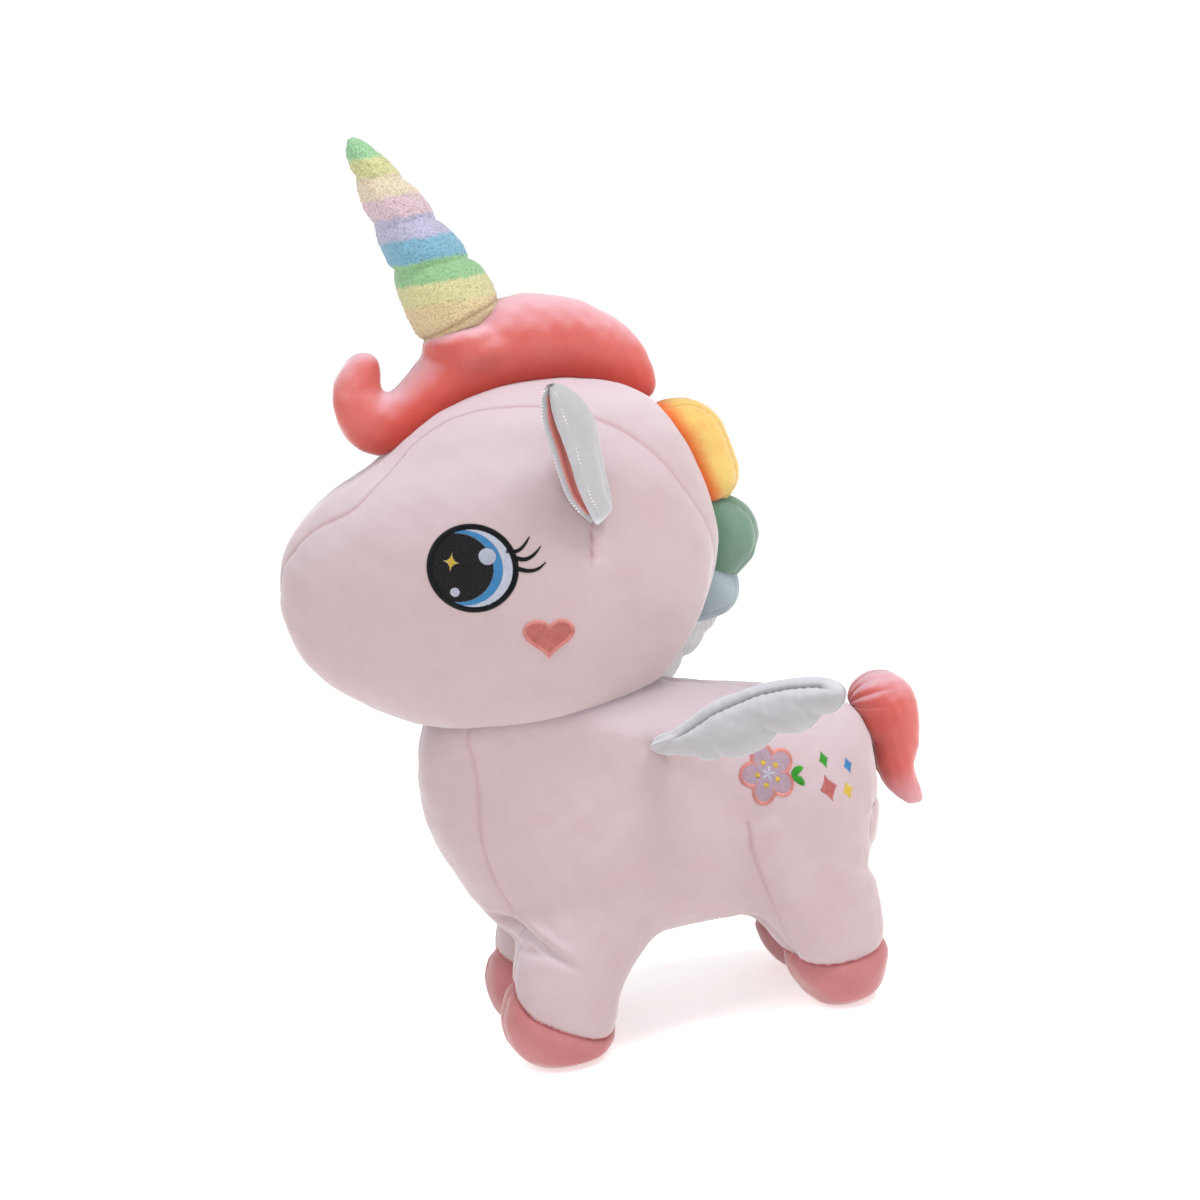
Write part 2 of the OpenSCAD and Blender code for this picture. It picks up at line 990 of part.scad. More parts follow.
module flank_green_thread() {
    color("#4CA83C")
        on_flank(blossom_at) {
            difference() {
                translate([15.5, -3]) {
                    translate([-8.5, 0]) leaf(42);
                    translate([-7, 0]) leaf(-20);
                }
                petals(0);
            }
            diamond(36, 1.5, 4.5, 10);
        }
}

module flank_blue_thread() {
    color("#3E7FC4") on_flank(blossom_at) diamond(50.5, -5.5, 5, 9.5);
}

module left_blossom_petals() {
    blossom_petals();
}

module left_flank_coral_thread() {
    flank_coral_thread();
}

module left_flank_yellow_thread() {
    flank_yellow_thread();
}

module left_flank_green_thread() {
    flank_green_thread();
}

module left_flank_blue_thread() {
    flank_blue_thread();
}

module right_blossom_petals() {
    mirror([0, 1, 0]) blossom_petals();
}

module right_flank_coral_thread() {
    mirror([0, 1, 0]) flank_coral_thread();
}

module right_flank_yellow_thread() {
    mirror([0, 1, 0]) flank_yellow_thread();
}

module right_flank_green_thread() {
    mirror([0, 1, 0]) flank_green_thread();
}

module right_flank_blue_thread() {
    mirror([0, 1, 0]) flank_blue_thread();
}

body_left_panel();
body_right_panel();
chest_belly_gusset();
body_stuffing();
front_left_hoof();
front_right_hoof();
hind_left_hoof();
hind_right_hoof();
head_left_panel();
head_right_panel();
head_gusset();
head_stuffing();
horn_cover();
horn_stuffing();
forelock_left_panel();
forelock_right_panel();
forelock_stuffing();
mane_yellow_left_panel();
mane_yellow_right_panel();
mane_yellow_stuffing();
mane_green_left_panel();
mane_green_right_panel();
mane_green_stuffing();
mane_blue_left_panel();
mane_blue_right_panel();
mane_blue_stuffing();
left_ear_lining();
left_ear_back();
right_ear_lining();
right_ear_back();
left_wing_outer();
left_wing_inner();
left_wing_stuffing();
right_wing_outer();
right_wing_inner();
right_wing_stuffing();
tail_left_panel();
tail_right_panel();
tail_stuffing();
left_eye_black_thread();
left_eye_blue_thread();
left_eye_white_thread();
left_eye_star_thread();
right_eye_black_thread();
right_eye_blue_thread();
right_eye_white_thread();
right_eye_star_thread();
left_cheek_heart();
right_cheek_heart();
left_blossom_petals();
left_flank_coral_thread();
left_flank_yellow_thread();
left_flank_green_thread();
left_flank_blue_thread();
right_blossom_petals();
right_flank_coral_thread();
right_flank_yellow_thread();
right_flank_green_thread();
right_flank_blue_thread();
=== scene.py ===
import math

import bpy
import numpy as np
from mathutils import Matrix, Vector
from mathutils.bvhtree import BVHTree


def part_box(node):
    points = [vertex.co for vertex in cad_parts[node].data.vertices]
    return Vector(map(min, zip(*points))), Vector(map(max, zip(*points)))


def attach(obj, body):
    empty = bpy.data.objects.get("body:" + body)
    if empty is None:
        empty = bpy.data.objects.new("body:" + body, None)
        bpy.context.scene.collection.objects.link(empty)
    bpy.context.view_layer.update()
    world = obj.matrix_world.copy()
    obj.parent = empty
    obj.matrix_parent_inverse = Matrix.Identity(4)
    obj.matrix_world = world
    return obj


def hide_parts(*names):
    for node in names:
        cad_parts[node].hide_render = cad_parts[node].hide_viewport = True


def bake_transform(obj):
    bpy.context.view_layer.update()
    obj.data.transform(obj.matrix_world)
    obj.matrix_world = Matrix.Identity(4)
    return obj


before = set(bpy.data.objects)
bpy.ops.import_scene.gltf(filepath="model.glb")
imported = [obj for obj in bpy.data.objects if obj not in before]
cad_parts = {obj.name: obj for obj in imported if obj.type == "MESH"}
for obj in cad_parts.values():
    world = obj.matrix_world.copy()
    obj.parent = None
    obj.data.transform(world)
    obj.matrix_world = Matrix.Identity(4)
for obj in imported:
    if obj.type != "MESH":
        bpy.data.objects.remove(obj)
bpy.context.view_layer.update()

# Shapes are worked out in millimetres and written to the meshes in metres.
MM = 0.001
TAU = 2 * math.pi


def box_mm(*nodes):
    """Lowest and highest corner of some CAD nodes together, in millimetres."""
    corners = np.array([[list(c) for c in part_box(n)] for n in nodes]) / MM
    return corners[:, 0].min(0), corners[:, 1].max(0)


# ---- driving sizes: the head's taken from the imported model, the rest given ---
head_lo, head_hi = box_mm("head_left_panel", "head_right_panel", "head_gusset")
NECK_Z = head_lo[2]
HEAD_H = head_hi[2] - head_lo[2]
MUZZLE_X = -head_lo[0]
NAPE_X = head_hi[0]
HEAD_HALF_W = head_hi[1]
BODY_HALF_W = 79.0
# Middle of each leg, and edge of the belly gusset, out from the toy's middle plane
LEG_Y = 42.0
GUSSET_HALF_W = 46.0

# Head sections from the neck seam to the crown, as shares of the head's own sizes:
# height, front reach, rear reach, half width, fullness at the nose and the nape
HEAD_ROWS = [
    [0.000, 0.615, 0.310, 0.713, 0.85, 0.85],
    [0.030, 0.692, 0.450, 0.780, 0.84, 0.86],
    [0.090, 0.790, 0.600, 0.860, 0.80, 0.88],
    [0.180, 0.900, 0.770, 0.930, 0.74, 0.90],
    [0.284, 0.972, 0.915, 0.980, 0.68, 0.92],
    [0.400, 1.000, 1.000, 1.000, 0.64, 0.92],
    [0.514, 0.995, 1.000, 1.000, 0.62, 0.92],
    [0.613, 0.951, 0.963, 0.975, 0.62, 0.92],
    [0.693, 0.878, 0.915, 0.930, 0.64, 0.92],
    [0.758, 0.780, 0.854, 0.866, 0.68, 0.93],
    [0.818, 0.640, 0.770, 0.780, 0.76, 0.94],
    [0.883, 0.530, 0.646, 0.663, 0.86, 0.95],
    [0.943, 0.430, 0.415, 0.495, 0.95, 1.00],
    [0.983, 0.310, 0.120, 0.277, 1.00, 1.00],
    [1.000, 0.200, -0.150, 0.090, 1.00, 1.00],
]
# Barrel sections: height, front reach, rear reach, half width share, two fullnesses
BARREL_ROWS = [
    [64, 52, 84, 0.33, 1.00, 1.00],
    [67, 74, 106, 0.56, 1.00, 1.00],
    [76, 91, 130, 0.77, 1.10, 1.10],
    [92, 103.5, 150, 0.90, 1.12, 1.18],
    [112, 115, 157.5, 0.975, 1.06, 1.20],
    [135, 124.5, 159, 1.00, 0.98, 1.14],
    [158, 130.5, 159.5, 0.985, 0.92, 1.00],
    [178, 131, 149, 0.965, 0.88, 0.84],
    [192, 129, 120, 0.955, 0.86, 0.72],
    [203, 126.5, 84, 0.940, 0.85, 0.66],
    [212, 123, 50, 0.925, 0.85, 0.74],
    [220, 119, 30, 0.911, 0.85, 0.85],
]
# Leg sections: height, front x, rear x, half width, draw-in under the barrel
FRONT_LEG_ROWS = [
    [0, -88, -56, 18, 0],
    [3, -97.5, -49, 26, 0],
    [9, -104, -42, 31, 0],
    [20, -109.5, -37, 34, 0],
    [35, -109.5, -33, 35, 0],
    [50, -102, -24, 34.5, 0],
    [66, -97, -8, 34.5, 1],
    [85, -90, 10, 34, 3],
    [104, -84, 14, 31, 6],
    [122, -74, 6, 25, 10],
    [138, -58, -10, 14, 16],
]
HIND_LEG_ROWS = [
    [0, 93, 119, 18, 0],
    [3, 86.5, 127, 26, 0],
    [9, 82, 132.5, 31, 0],
    [20, 77.5, 136.5, 34, 0],
    [35, 75, 138, 35, 0],
    [50, 67, 139.5, 35, 0],
    [66, 57, 139.5, 35.5, 0],
    [84, 50, 139, 36, 1],
    [104, 48, 138, 34, 4],
    [122, 54, 132, 28, 9],
    [140, 70, 118, 15, 17],
]
# Stuffed rolls: x, z, radius in side view, radius across the toy
FORELOCK_BEADS = [
    [-116.5, 443, 12, 12],
    [-122.5, 432, 15.5, 14],
    [-122, 418, 18, 17],
    [-113, 408, 20, 19],
    [-92, 412, 18.5, 20],
    [-62, 429, 24.5, 23],
    [-25, 441, 31, 26],
    [8, 437, 29.5, 25],
    [34, 422, 24, 21],
    [49, 405, 14.5, 14],
]
YELLOW_BEADS = [[62, 372, 19, 21], [77, 367, 22, 23], [82, 341, 23, 23]]
GREEN_BEADS = [[74, 312, 20, 20], [88, 302, 23.5, 21], [82, 292, 22, 20]]
BLUE_BEADS = [[66, 276, 19, 18], [74, 269, 20, 18], [62, 264, 17, 16]]
TAIL_BEADS = [
    [158, 179.5, 7.5, 7],
    [172.5, 173.5, 21, 19],
    [177, 152, 17.5, 16],
    [174, 130, 13.5, 13],
    [180, 113, 10, 9],
    [186, 105.5, 5, 5],
]
# Half width of the head gusset at each x, after the seam seen in the photo
GUSSET_X = [-194, -185, -174, -161, -145, -132, -118, -106, -92, -76, -60, -40, -20, 12, 30]
GUSSET_HALF = [0, 15, 20.5, 28, 38, 40, 33, 28, 27.5, 32, 38, 47, 54, 62, 62]
# Its half width down the nape, at each height
GUSSET_Z = [200, 260, 295, 310, 324, 346, 363, 375, 391]
NAPE_HALF = [18, 22, 31, 39, 45, 54.5, 58, 60.5, 62]


# Hoof seams are looked for below these heights
FRONT_HOOF_TOP = 72
HIND_HOOF_TOP = 50
# Filling pressure of the cloth pads, and the furthest that it may move their skin, in mm
PUFF_PRESSURE = 4.0
PUFF_CAP = 1.6
PUFF_FRAMES = 20


# ---- numeric helpers -------------------------------------------------------
def unit(v):
    v = np.asarray(v, float)
    return v / np.linalg.norm(v)


def flat_to(v, axis):
    return np.asarray(v, float) - np.dot(v, axis) * axis


def ease(u):
    c = np.clip(u, 0, 1)
    return c * c * (3 - 2 * c)


def bell(d, width):
    return np.exp(-((d / width) ** 2))


def spline(rows, u):
    """Smooth curve through rows of numbers, at the row positions u."""
    rows = np.asarray(rows, float)
    last = len(rows) - 1
    i = np.minimum(np.asarray(u).astype(int), last - 1)
    f = (u - i)[:, None]
    a, b, c, d = (rows[np.clip(i + k, 0, last)] for k in (-1, 0, 1, 2))
    bend = (2 * a - 5 * b + 4 * c - d) * f**2 + (3 * b - a - 3 * c + d) * f**3
    return 0.5 * (2 * b + (c - a) * f + bend)


def even_rows(rows, count, scale):
    """Rows resampled so that neighbours are about equally far apart."""
    dense = spline(rows, np.linspace(0, len(rows) - 1, 1200))
    step = np.linalg.norm(np.diff(dense[:, : len(scale)] * scale, axis=0), axis=1)
    length = np.concatenate([[0], np.cumsum(step)])
    at = np.linspace(0, length[-1], count)
    return np.stack([np.interp(at, length, dense[:, k]) for k in range(dense.shape[1])], 1)


def sections(z, front, rear, half, full_f, full_r, y0, n):
    """Level egg-shaped sections, one per row, each from the nose round by the left."""
    col = lambda v: np.asarray(v, float)[:, None]
    t = np.linspace(0, TAU, n, endpoint=False)[None, :]
    s = (1 - np.cos(t)) / 2
    f = col(full_f) + (1 - col(full_f)) * ease(s / 0.62)
    r = col(full_r) + (1 - col(full_r)) * ease((1 - s) / 0.5)
    side = np.where(np.sin(t) >= 0, 1, -1)
    x = col(front) + (col(rear) - col(front)) * s
    y = col(y0) - side * col(half) * f * r * np.abs(np.sin(t)) ** 0.86
    return np.stack([x, y, np.broadcast_to(col(z), x.shape)], 2)


def loft(rings):
    """Points and faces of a closed skin over a stack of rings."""
    m, n = rings.shape[:2]
    co = np.concatenate([rings.reshape(-1, 3), [rings[0].mean(0), rings[-1].mean(0)]])
    i = np.arange(n)
    j = (i + 1) % n
    k = np.arange(m - 1)[:, None] * n
    quads = np.stack([k + i, k + j, k + j + n, k + i + n], 2).reshape(-1, 4)
    low = np.stack([j, i, np.full(n, m * n)], 1)
    top = (m - 1) * n
    high = np.stack([top + i, top + j, np.full(n, m * n + 1)], 1)
    return co, [quads, np.concatenate([low, high])]


def joined(parts):
    """Several (points, faces) as one."""
    co = np.concatenate([p[0] for p in parts])
    shift = np.cumsum([0] + [len(p[0]) for p in parts])
    faces = [f + s for p, s in zip(parts, shift) for f in p[1]]
    return co, faces


def mirrored(co, faces):
    return co * [1, -1, 1], [f[:, ::-1] for f in faces]


def linked(name, data):
    """A new object with that data, in the scene."""
    ob = bpy.data.objects.new(name, data)
    bpy.context.scene.collection.objects.link(ob)
    return ob


def on_side(side, co, faces, normals):
    """A skin made for the left, turned into the right one when the side is above 0."""
    if side < 0:
        return co, faces, normals
    return *mirrored(co, faces), normals * [1, -1, 1]


def new_mesh(name, co, faces):
    mesh = bpy.data.meshes.new(name)
    faces = [np.asarray(f) for f in faces if len(f)]
    loops = np.concatenate([f.ravel() for f in faces]).astype(np.int32)
    sizes = np.concatenate([np.full(len(f), f.shape[1]) for f in faces])
    starts = np.concatenate([[0], np.cumsum(sizes)[:-1]]).astype(np.int32)
    mesh.vertices.add(len(co))
    mesh.vertices.foreach_set("co", (co * MM).astype(np.float32).ravel())
    mesh.loops.add(len(loops))
    mesh.loops.foreach_set("vertex_index", loops)
    mesh.polygons.add(len(sizes))
    mesh.polygons.foreach_set("loop_start", starts)
    mesh.update(calc_edges=True)
    mesh.polygons.foreach_set("use_smooth", np.ones(len(sizes), bool))
    return mesh


def arrays(mesh):
    """Points in millimetres and the quads of a mesh that has only quads."""
    co = np.zeros(len(mesh.vertices) * 3, np.float32)
    mesh.vertices.foreach_get("co", co)
    loops = np.zeros(len(mesh.loops), np.int32)
    mesh.loops.foreach_get("vertex_index", loops)
    return co.reshape(-1, 3).astype(float) / MM, loops.reshape(-1, 4)


def modified(co, faces, kind, **settings):
    """The quads that a modifier makes of a skin."""
    mesh = new_mesh("work", co, faces)
    ob = linked("work", mesh)
    mod = ob.modifiers.new("work", kind)
    for key, value in settings.items():
        setattr(mod, key, value)
    graph = bpy.context.evaluated_depsgraph_get()
    made = bpy.data.meshes.new_from_object(ob.evaluated_get(graph))
    result = arrays(made)
    bpy.data.objects.remove(ob)
    bpy.data.meshes.remove(mesh)
    bpy.data.meshes.remove(made)
    return result


def remesh(co, faces, cell):
    return modified(co, faces, "REMESH", mode="VOXEL", voxel_size=cell * MM)


def subdivide(co, quads):
    return modified(co, [quads], "SUBSURF", levels=1, render_levels=1)


def edges_of(quads):
    pairs = np.concatenate([quads[:, [k, (k + 1) % 4]] for k in range(4)])
    return np.unique(np.sort(pairs, 1), axis=0)


def normals_of(co, quads):
    across = np.cross(co[quads[:, 2]] - co[quads[:, 0]], co[quads[:, 3]] - co[quads[:, 1]])
    total = np.stack(
        [
            sum(np.bincount(quads[:, k], across[:, a], len(co)) for k in range(4))
            for a in range(3)
        ],
        1,
    )
    return total / np.maximum(np.linalg.norm(total, axis=1, keepdims=True), 1e-9)


def smoothed(co, quads, rounds, fill=0.0, weight=None):
    """Relaxes a skin. With fill, points mostly move outwards, which rounds hollows."""
    e = edges_of(quads)
    n = len(co)
    degree = np.bincount(e.ravel(), minlength=n)
    for k in range(rounds):
        if k % 6 == 0:
            nor = normals_of(co, quads)
        mean = np.stack(
            [
                np.bincount(e[:, 0], co[e[:, 1], a], n) + np.bincount(e[:, 1], co[e[:, 0], a], n)
                for a in range(3)
            ],
            1,
        )
        step = mean / degree[:, None] - co
        if fill:
            outward = (step * nor).sum(1)
            keep = np.where(outward > 0, 1.0, 1 - fill)
            step = step - nor * (outward * (1 - keep))[:, None]
        if weight is not None:
            step = step * weight[:, None]
        co = co + 0.6 * step
    return co


def lumps(co, size, seed):
    """A soft uneven field, about -1 to 1, with swells about that size in mm."""
    rng = np.random.default_rng(seed)
    total = np.zeros(len(co))
    for _ in range(8):
        turn = unit(rng.normal(size=3)) * TAU / (size * rng.uniform(0.7, 1.6))
        total += np.sin(co @ turn + rng.uniform(0, TAU))
    return total / math.sqrt(8)


def to_line(px, pz, line):
    """Distance from points to an open line of 2-D points, and the share along it."""
    line = np.asarray(line, float)
    best = np.full(len(px), 1e9)
    share = np.zeros(len(px))
    lengths = np.linalg.norm(np.diff(line, axis=0), axis=1)
    done = np.concatenate([[0], np.cumsum(lengths)])
    for k in range(len(line) - 1):
        d = line[k + 1] - line[k]
        t = np.clip(((px - line[k, 0]) * d[0] + (pz - line[k, 1]) * d[1]) / (d @ d), 0, 1)
        gap = np.hypot(px - line[k, 0] - t * d[0], pz - line[k, 1] - t * d[1])
        nearer = gap < best
        best = np.where(nearer, gap, best)
        share = np.where(nearer, (done[k] + t * lengths[k]) / done[-1], share)
    return best, share


def snapped(co, quads, field, reach):
    """Moves points that lie near field = 0 onto it, so that a cut there runs clean."""
    f = field(co)
    near = np.where(np.abs(f) < reach * 2.5)[0]
    step = 0.05
    grad = np.stack(
        [(field(co[near] + np.eye(3)[a] * step) - f[near]) / step for a in range(3)], 1
    )
    nor = normals_of(co, quads)[near]
    grad -= nor * (grad * nor).sum(1, keepdims=True)
    size = (grad**2).sum(1)
    gap = f[near] / np.sqrt(np.maximum(size, 1e-9))
    ok = (np.abs(gap) < reach) & (size > 0.05)
    co = co.copy()
    co[near[ok]] -= grad[ok] * (f[near[ok]] / size[ok])[:, None]
    return co


def arrays_normal_z(mesh):
    """Upward part of each vertex normal."""
    out = np.empty(len(mesh.vertices) * 3, np.float32)
    mesh.vertex_normals.foreach_get("vector", out)
    return out.reshape(-1, 3)[:, 2].astype(float)


def put(name, co, faces, material, body, nodes, slot, attributes=None, normals=None):
    """Makes a piece, gives it its finish and hides the CAD nodes that it stands for."""
    ob = linked(name, new_mesh(name, co, faces))
    ob.data.materials.append(material)
    # The "up" share marks upward faces, where velvet materials paint a highlight in their pale colour.
    up = normals[:, 2] if normals is not None else arrays_normal_z(ob.data)
    attributes = {"up": ease((up - 0.05) / 0.95), **(attributes or {})}
    for key, values in attributes.items():
        layer = ob.data.attributes.new(key, "FLOAT", "POINT")
        layer.data.foreach_set("value", values.astype(np.float32))
    if normals is not None:
        ob.data.normals_split_custom_set_from_vertices(normals.tolist())
    if body:
        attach(ob, body)
    if nodes:
        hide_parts(*nodes)
    return ob


def picked(co, quads, chosen, *values):
    """The part of a skin made of the chosen faces, with its share of each value."""
    faces = quads[chosen]
    used = np.unique(faces)
    renumber = np.zeros(len(co), int)
    renumber[used] = np.arange(len(used))
    return co[used], renumber[faces], [v[used] for v in values]


# ---- materials -------------------------------------------------------------
def srgb(r, g, b):
    """A colour given as it looks on a screen, 0 to 255, in linear light."""
    return tuple(
        c / 255 / 12.92 if c <= 10 else ((c / 255 + 0.055) / 1.055) ** 2.4 for c in (r, g, b)
    ) + (1.0,)


class Nodes:
    """Short calls that add and join shader nodes."""

    def __init__(self, name):
        self.material = bpy.data.materials.new(name)
        self.material.use_nodes = True
        self.tree = self.material.node_tree
        self.shader = self.tree.nodes["Principled BSDF"]
        self.place = self.add("ShaderNodeTexCoord").outputs["Object"]

    def add(self, kind, **settings):
        node = self.tree.nodes.new(kind)
        for key, value in settings.items():
            setattr(node, key, value)
        return node

    def link(self, source, target):
        self.tree.links.new(source, target)

    def noise(self, scale, detail=2.0, rough=0.5):
        node = self.add("ShaderNodeTexNoise")
        node.inputs["Scale"].default_value = scale
        node.inputs["Detail"].default_value = detail
        node.inputs["Roughness"].default_value = rough
        self.link(self.place, node.inputs["Vector"])
        return node.outputs["Fac"]

    def mix(self, a, b, factor, blend="MIX"):
        node = self.add("ShaderNodeMix", data_type="RGBA", blend_type=blend)
        for socket, value in ((node.inputs[6], a), (node.inputs[7], b), (node.inputs[0], factor)):
            if hasattr(value, "is_output"):
                self.link(value, socket)
            else:
                socket.default_value = value
        return node.outputs[2]

    def ramp(self, source, low, high, to_low=0.0, to_high=1.0):
        node = self.add("ShaderNodeMapRange", interpolation_type="SMOOTHSTEP")
        for key, value in (("From Min", low), ("From Max", high)):
            node.inputs[key].default_value = value
        node.inputs["To Min"].default_value = to_low
        node.inputs["To Max"].default_value = to_high
        self.link(source, node.inputs["Value"])
        return node.outputs["Result"]

    def finish(self, base, rough, specular, sheen=0.0, sheen_rough=0.5):
        """Joins up the base colour and sets how the surface shines."""
        self.link(base, self.shader.inputs["Base Color"])
        for key, value in (("Roughness", rough), ("Specular IOR Level", specular),
                           ("Sheen Weight", sheen), ("Sheen Roughness", sheen_rough)):
            self.shader.inputs[key].default_value = value

    def attribute(self, name):
        return self.add("ShaderNodeAttribute", attribute_name=name).outputs["Fac"]

    def bump(self, source, distance, strength, under=None):
        node = self.add("ShaderNodeBump")
        node.inputs["Distance"].default_value = distance
        node.inputs["Strength"].default_value = strength
        self.link(source, node.inputs["Height"])
        if under is not None:
            self.link(under, node.inputs["Normal"])
        return node.outputs["Normal"]


def plush(name, colour, deep, seam, sheen=0.35, pale=None, reach=0.6):
    """Short-pile velvet: brushed patches, fine pile, deeper colour where the nap parts, painted shade in the
    deeper colour where the piece touches its neighbours, and a painted highlight in the pale colour on upward
    faces.
    """
    n = Nodes(name)
    brushed = n.ramp(n.noise(34, 3, 0.55), 0.35, 0.70, 0.0, 0.30)
    base = n.mix(colour, deep, brushed)
    streak = n.ramp(n.noise(260, 2, 0.6), 0.40, 0.75, 0.0, 0.10)
    base = n.mix(base, deep, streak)
    pile = n.ramp(n.noise(1500, 2, 0.7), 0.35, 0.65, 0.0, 0.16)
    base = n.mix(base, deep, pile)
    # Painted highlight: upward faces lean towards the pale colour.
    if pale:
        lift = n.add("ShaderNodeMath", operation="MULTIPLY")
        n.link(n.attribute("up"), lift.inputs[0])
        lift.inputs[1].default_value = reach
        base = n.mix(base, pale, lift.outputs[0])
    # Painted shade: the deeper colour where the piece touches its neighbours.
    base = n.mix(base, deep, n.attribute("painted_shade"))
    base = n.mix(base, seam, n.attribute("seam"))
    n.finish(base, 0.88, 0.18, sheen, 0.38)
    coarse = n.bump(n.noise(240, 3, 0.6), 0.0006, 0.35)
    fine = n.bump(n.noise(1900, 2, 0.7), 0.00025, 0.55, coarse)
    n.link(fine, n.shader.inputs["Normal"])
    return n.material


def thread(name, colour, deep, gloss=0.4):
    """Lustrous embroidery thread with fine twist."""
    n = Nodes(name)
    base = n.mix(colour, deep, n.ramp(n.noise(420, 3, 0.6), 0.3, 0.75, 0.0, 0.55))
    n.finish(base, 0.42, gloss, 0.15, 0.4)
    n.link(n.bump(n.noise(5200, 1, 0.5), 0.00008, 0.5), n.shader.inputs["Normal"])
    return n.material


# Each velvet's deeper colour also serves as painted shade where pieces touch; the pale colour and share given
# to pink, rose and white are a painted highlight on upward faces.
PINK = plush("pink_velvet", srgb(177, 158, 161), srgb(170, 144, 145), srgb(164, 130, 134), 0.6,
             srgb(194, 179, 189), 0.8)
HOOF = plush("hoof_velvet", srgb(170, 110, 111), srgb(158, 90, 90), srgb(132, 68, 70), 0.6)
MANE = plush("rose_velvet", srgb(188, 98, 93), srgb(176, 56, 43), srgb(150, 56, 50), 1.0,
             srgb(204, 168, 178), 0.85)
YELLOW = plush("yellow_velvet", srgb(203, 180, 104), srgb(204, 78, 30), srgb(176, 132, 58), 0.5)
GREEN = plush("green_velvet", srgb(107, 131, 117), srgb(86, 120, 97), srgb(80, 102, 88), 0.7)
BLUE = plush("blue_velvet", srgb(153, 165, 169), srgb(134, 148, 154), srgb(108, 120, 128), 0.6)
WHITE = plush("white_velvet", srgb(165, 163, 166), srgb(152, 148, 152), srgb(128, 124, 130), 0.6,
              srgb(194, 197, 203), 0.8)
LINING = plush("coral_velvet", srgb(214, 142, 134), srgb(200, 116, 108), srgb(170, 86, 80), 0.5)
BLACK_THREAD = thread("black_thread", srgb(13, 16, 19), srgb(5, 6, 8), 0.2)
BLUE_THREAD = thread("blue_thread", srgb(62, 142, 192), srgb(38, 108, 166))
WHITE_THREAD = thread("white_thread", srgb(200, 204, 216), srgb(172, 176, 194))
YELLOW_THREAD = thread("yellow_thread", srgb(222, 196, 84), srgb(202, 162, 48))
LILAC_THREAD = thread("lilac_thread", srgb(184, 160, 174), srgb(158, 134, 150))
CORAL_THREAD = thread("coral_thread", srgb(200, 118, 112), srgb(160, 76, 74))
BORDER_THREAD = thread("coral_border_thread", srgb(226, 158, 152), srgb(206, 128, 122))
GREEN_THREAD = thread("green_thread", srgb(60, 164, 44), srgb(30, 122, 24))
CORAL_STITCH = thread("coral_stitch", srgb(206, 112, 112), srgb(178, 84, 86))
WHITE_STITCH = thread("white_stitch", srgb(236, 228, 234), srgb(214, 196, 206))

# ---- camera, light and floor -----------------------------------------------
AIM = Vector((0.003, 0, 0.27405))
CAMERA_FAR = 1.6
CAMERA_AZIMUTH, CAMERA_HEIGHT, CAMERA_ROLL = (math.radians(a) for a in (-8, 9, 10))


def make_camera():
    data = bpy.data.cameras.new("camera")
    data.sensor_width = 36
    data.lens = 76.19
    cam = linked("camera", data)
    a, e, r = CAMERA_AZIMUTH, CAMERA_HEIGHT, CAMERA_ROLL
    back = Vector((math.sin(a) * math.cos(e), -math.cos(a) * math.cos(e), math.sin(e)))
    right = Vector((math.cos(a), math.sin(a), 0))
    up = back.cross(right)
    turned_right = right * math.cos(r) - up * math.sin(r)
    turned_up = right * math.sin(r) + up * math.cos(r)
    turn = Matrix((turned_right, turned_up, back)).transposed()
    cam.matrix_world = Matrix.Translation(AIM + back * CAMERA_FAR) @ turn.to_4x4()
    bpy.context.scene.camera = cam


def make_light(name, place, size, power):
    data = bpy.data.lights.new(name, "AREA")
    data.shape = "DISK"
    data.size = size
    data.energy = power
    lamp = linked(name, data)
    lamp.location = place
    lamp.rotation_mode = "QUATERNION"
    lamp.rotation_quaternion = (AIM - Vector(place)).to_track_quat("-Z", "Y")


def make_studio():
    make_light("key_light", (1.1, -0.8, 2.4), 1.0, 46)
    make_light("front_light", (-1.3, -1.1, 2.3), 1.3, 26)
    make_light("fill_light", (1.7, -1.4, 0.9), 1.4, 2)
    world = bpy.data.worlds.new("studio")
    world.use_nodes = True
    tree = world.node_tree
    coord = tree.nodes.new("ShaderNodeTexCoord")
    split = tree.nodes.new("ShaderNodeSeparateXYZ")
    band = tree.nodes.new("ShaderNodeMapRange")
    tree.links.new(coord.outputs["Generated"], split.inputs["Vector"])
    tree.links.new(split.outputs["Z"], band.inputs["Value"])
    for socket, value in (("From Min", 0.16), ("From Max", 0.45), ("To Min", 1.05), ("To Max", 0.5)):
        band.inputs[socket].default_value = value
    background = tree.nodes["Background"]
    background.inputs["Color"].default_value = (1, 1, 1, 1)
    tree.links.new(band.outputs["Result"], background.inputs["Strength"])
    bpy.context.scene.world = world
    bpy.context.scene.view_settings.view_transform = "Standard"
    n = Nodes("pale_floor")
    shade = n.ramp(n.noise(3, 2), 0.3, 0.7, 0.0, 0.3)
    base = n.mix((0.93, 0.925, 0.92, 1), (0.90, 0.895, 0.89, 1), shade)
    n.finish(base, 0.7, 0.1)
    n.shader.inputs["Emission Color"].default_value = (1, 1, 1, 1)
    n.shader.inputs["Emission Strength"].default_value = 0.5
    reach = 30 / MM
    co = np.array([[-reach, -reach, 0], [reach, -reach, 0], [reach, reach, 0], [-reach, reach, 0]])
    floor = linked("floor", new_mesh("floor", co, [np.array([[0, 1, 2, 3]])]))
    floor.data.materials.append(n.material)


# ---- body --------------------------------------------------------------------
def leg_shell(rows, side):
    r = spline(rows, np.linspace(0, len(rows) - 1, 64))
    rings = sections(r[:, 0], r[:, 1], r[:, 2], r[:, 3], r[:, 3] * 0 + 1, r[:, 3] * 0 + 1,
                     r[:, 4] - LEG_Y, 96)
    shell = loft(rings)
    return shell if side < 0 else mirrored(*shell)


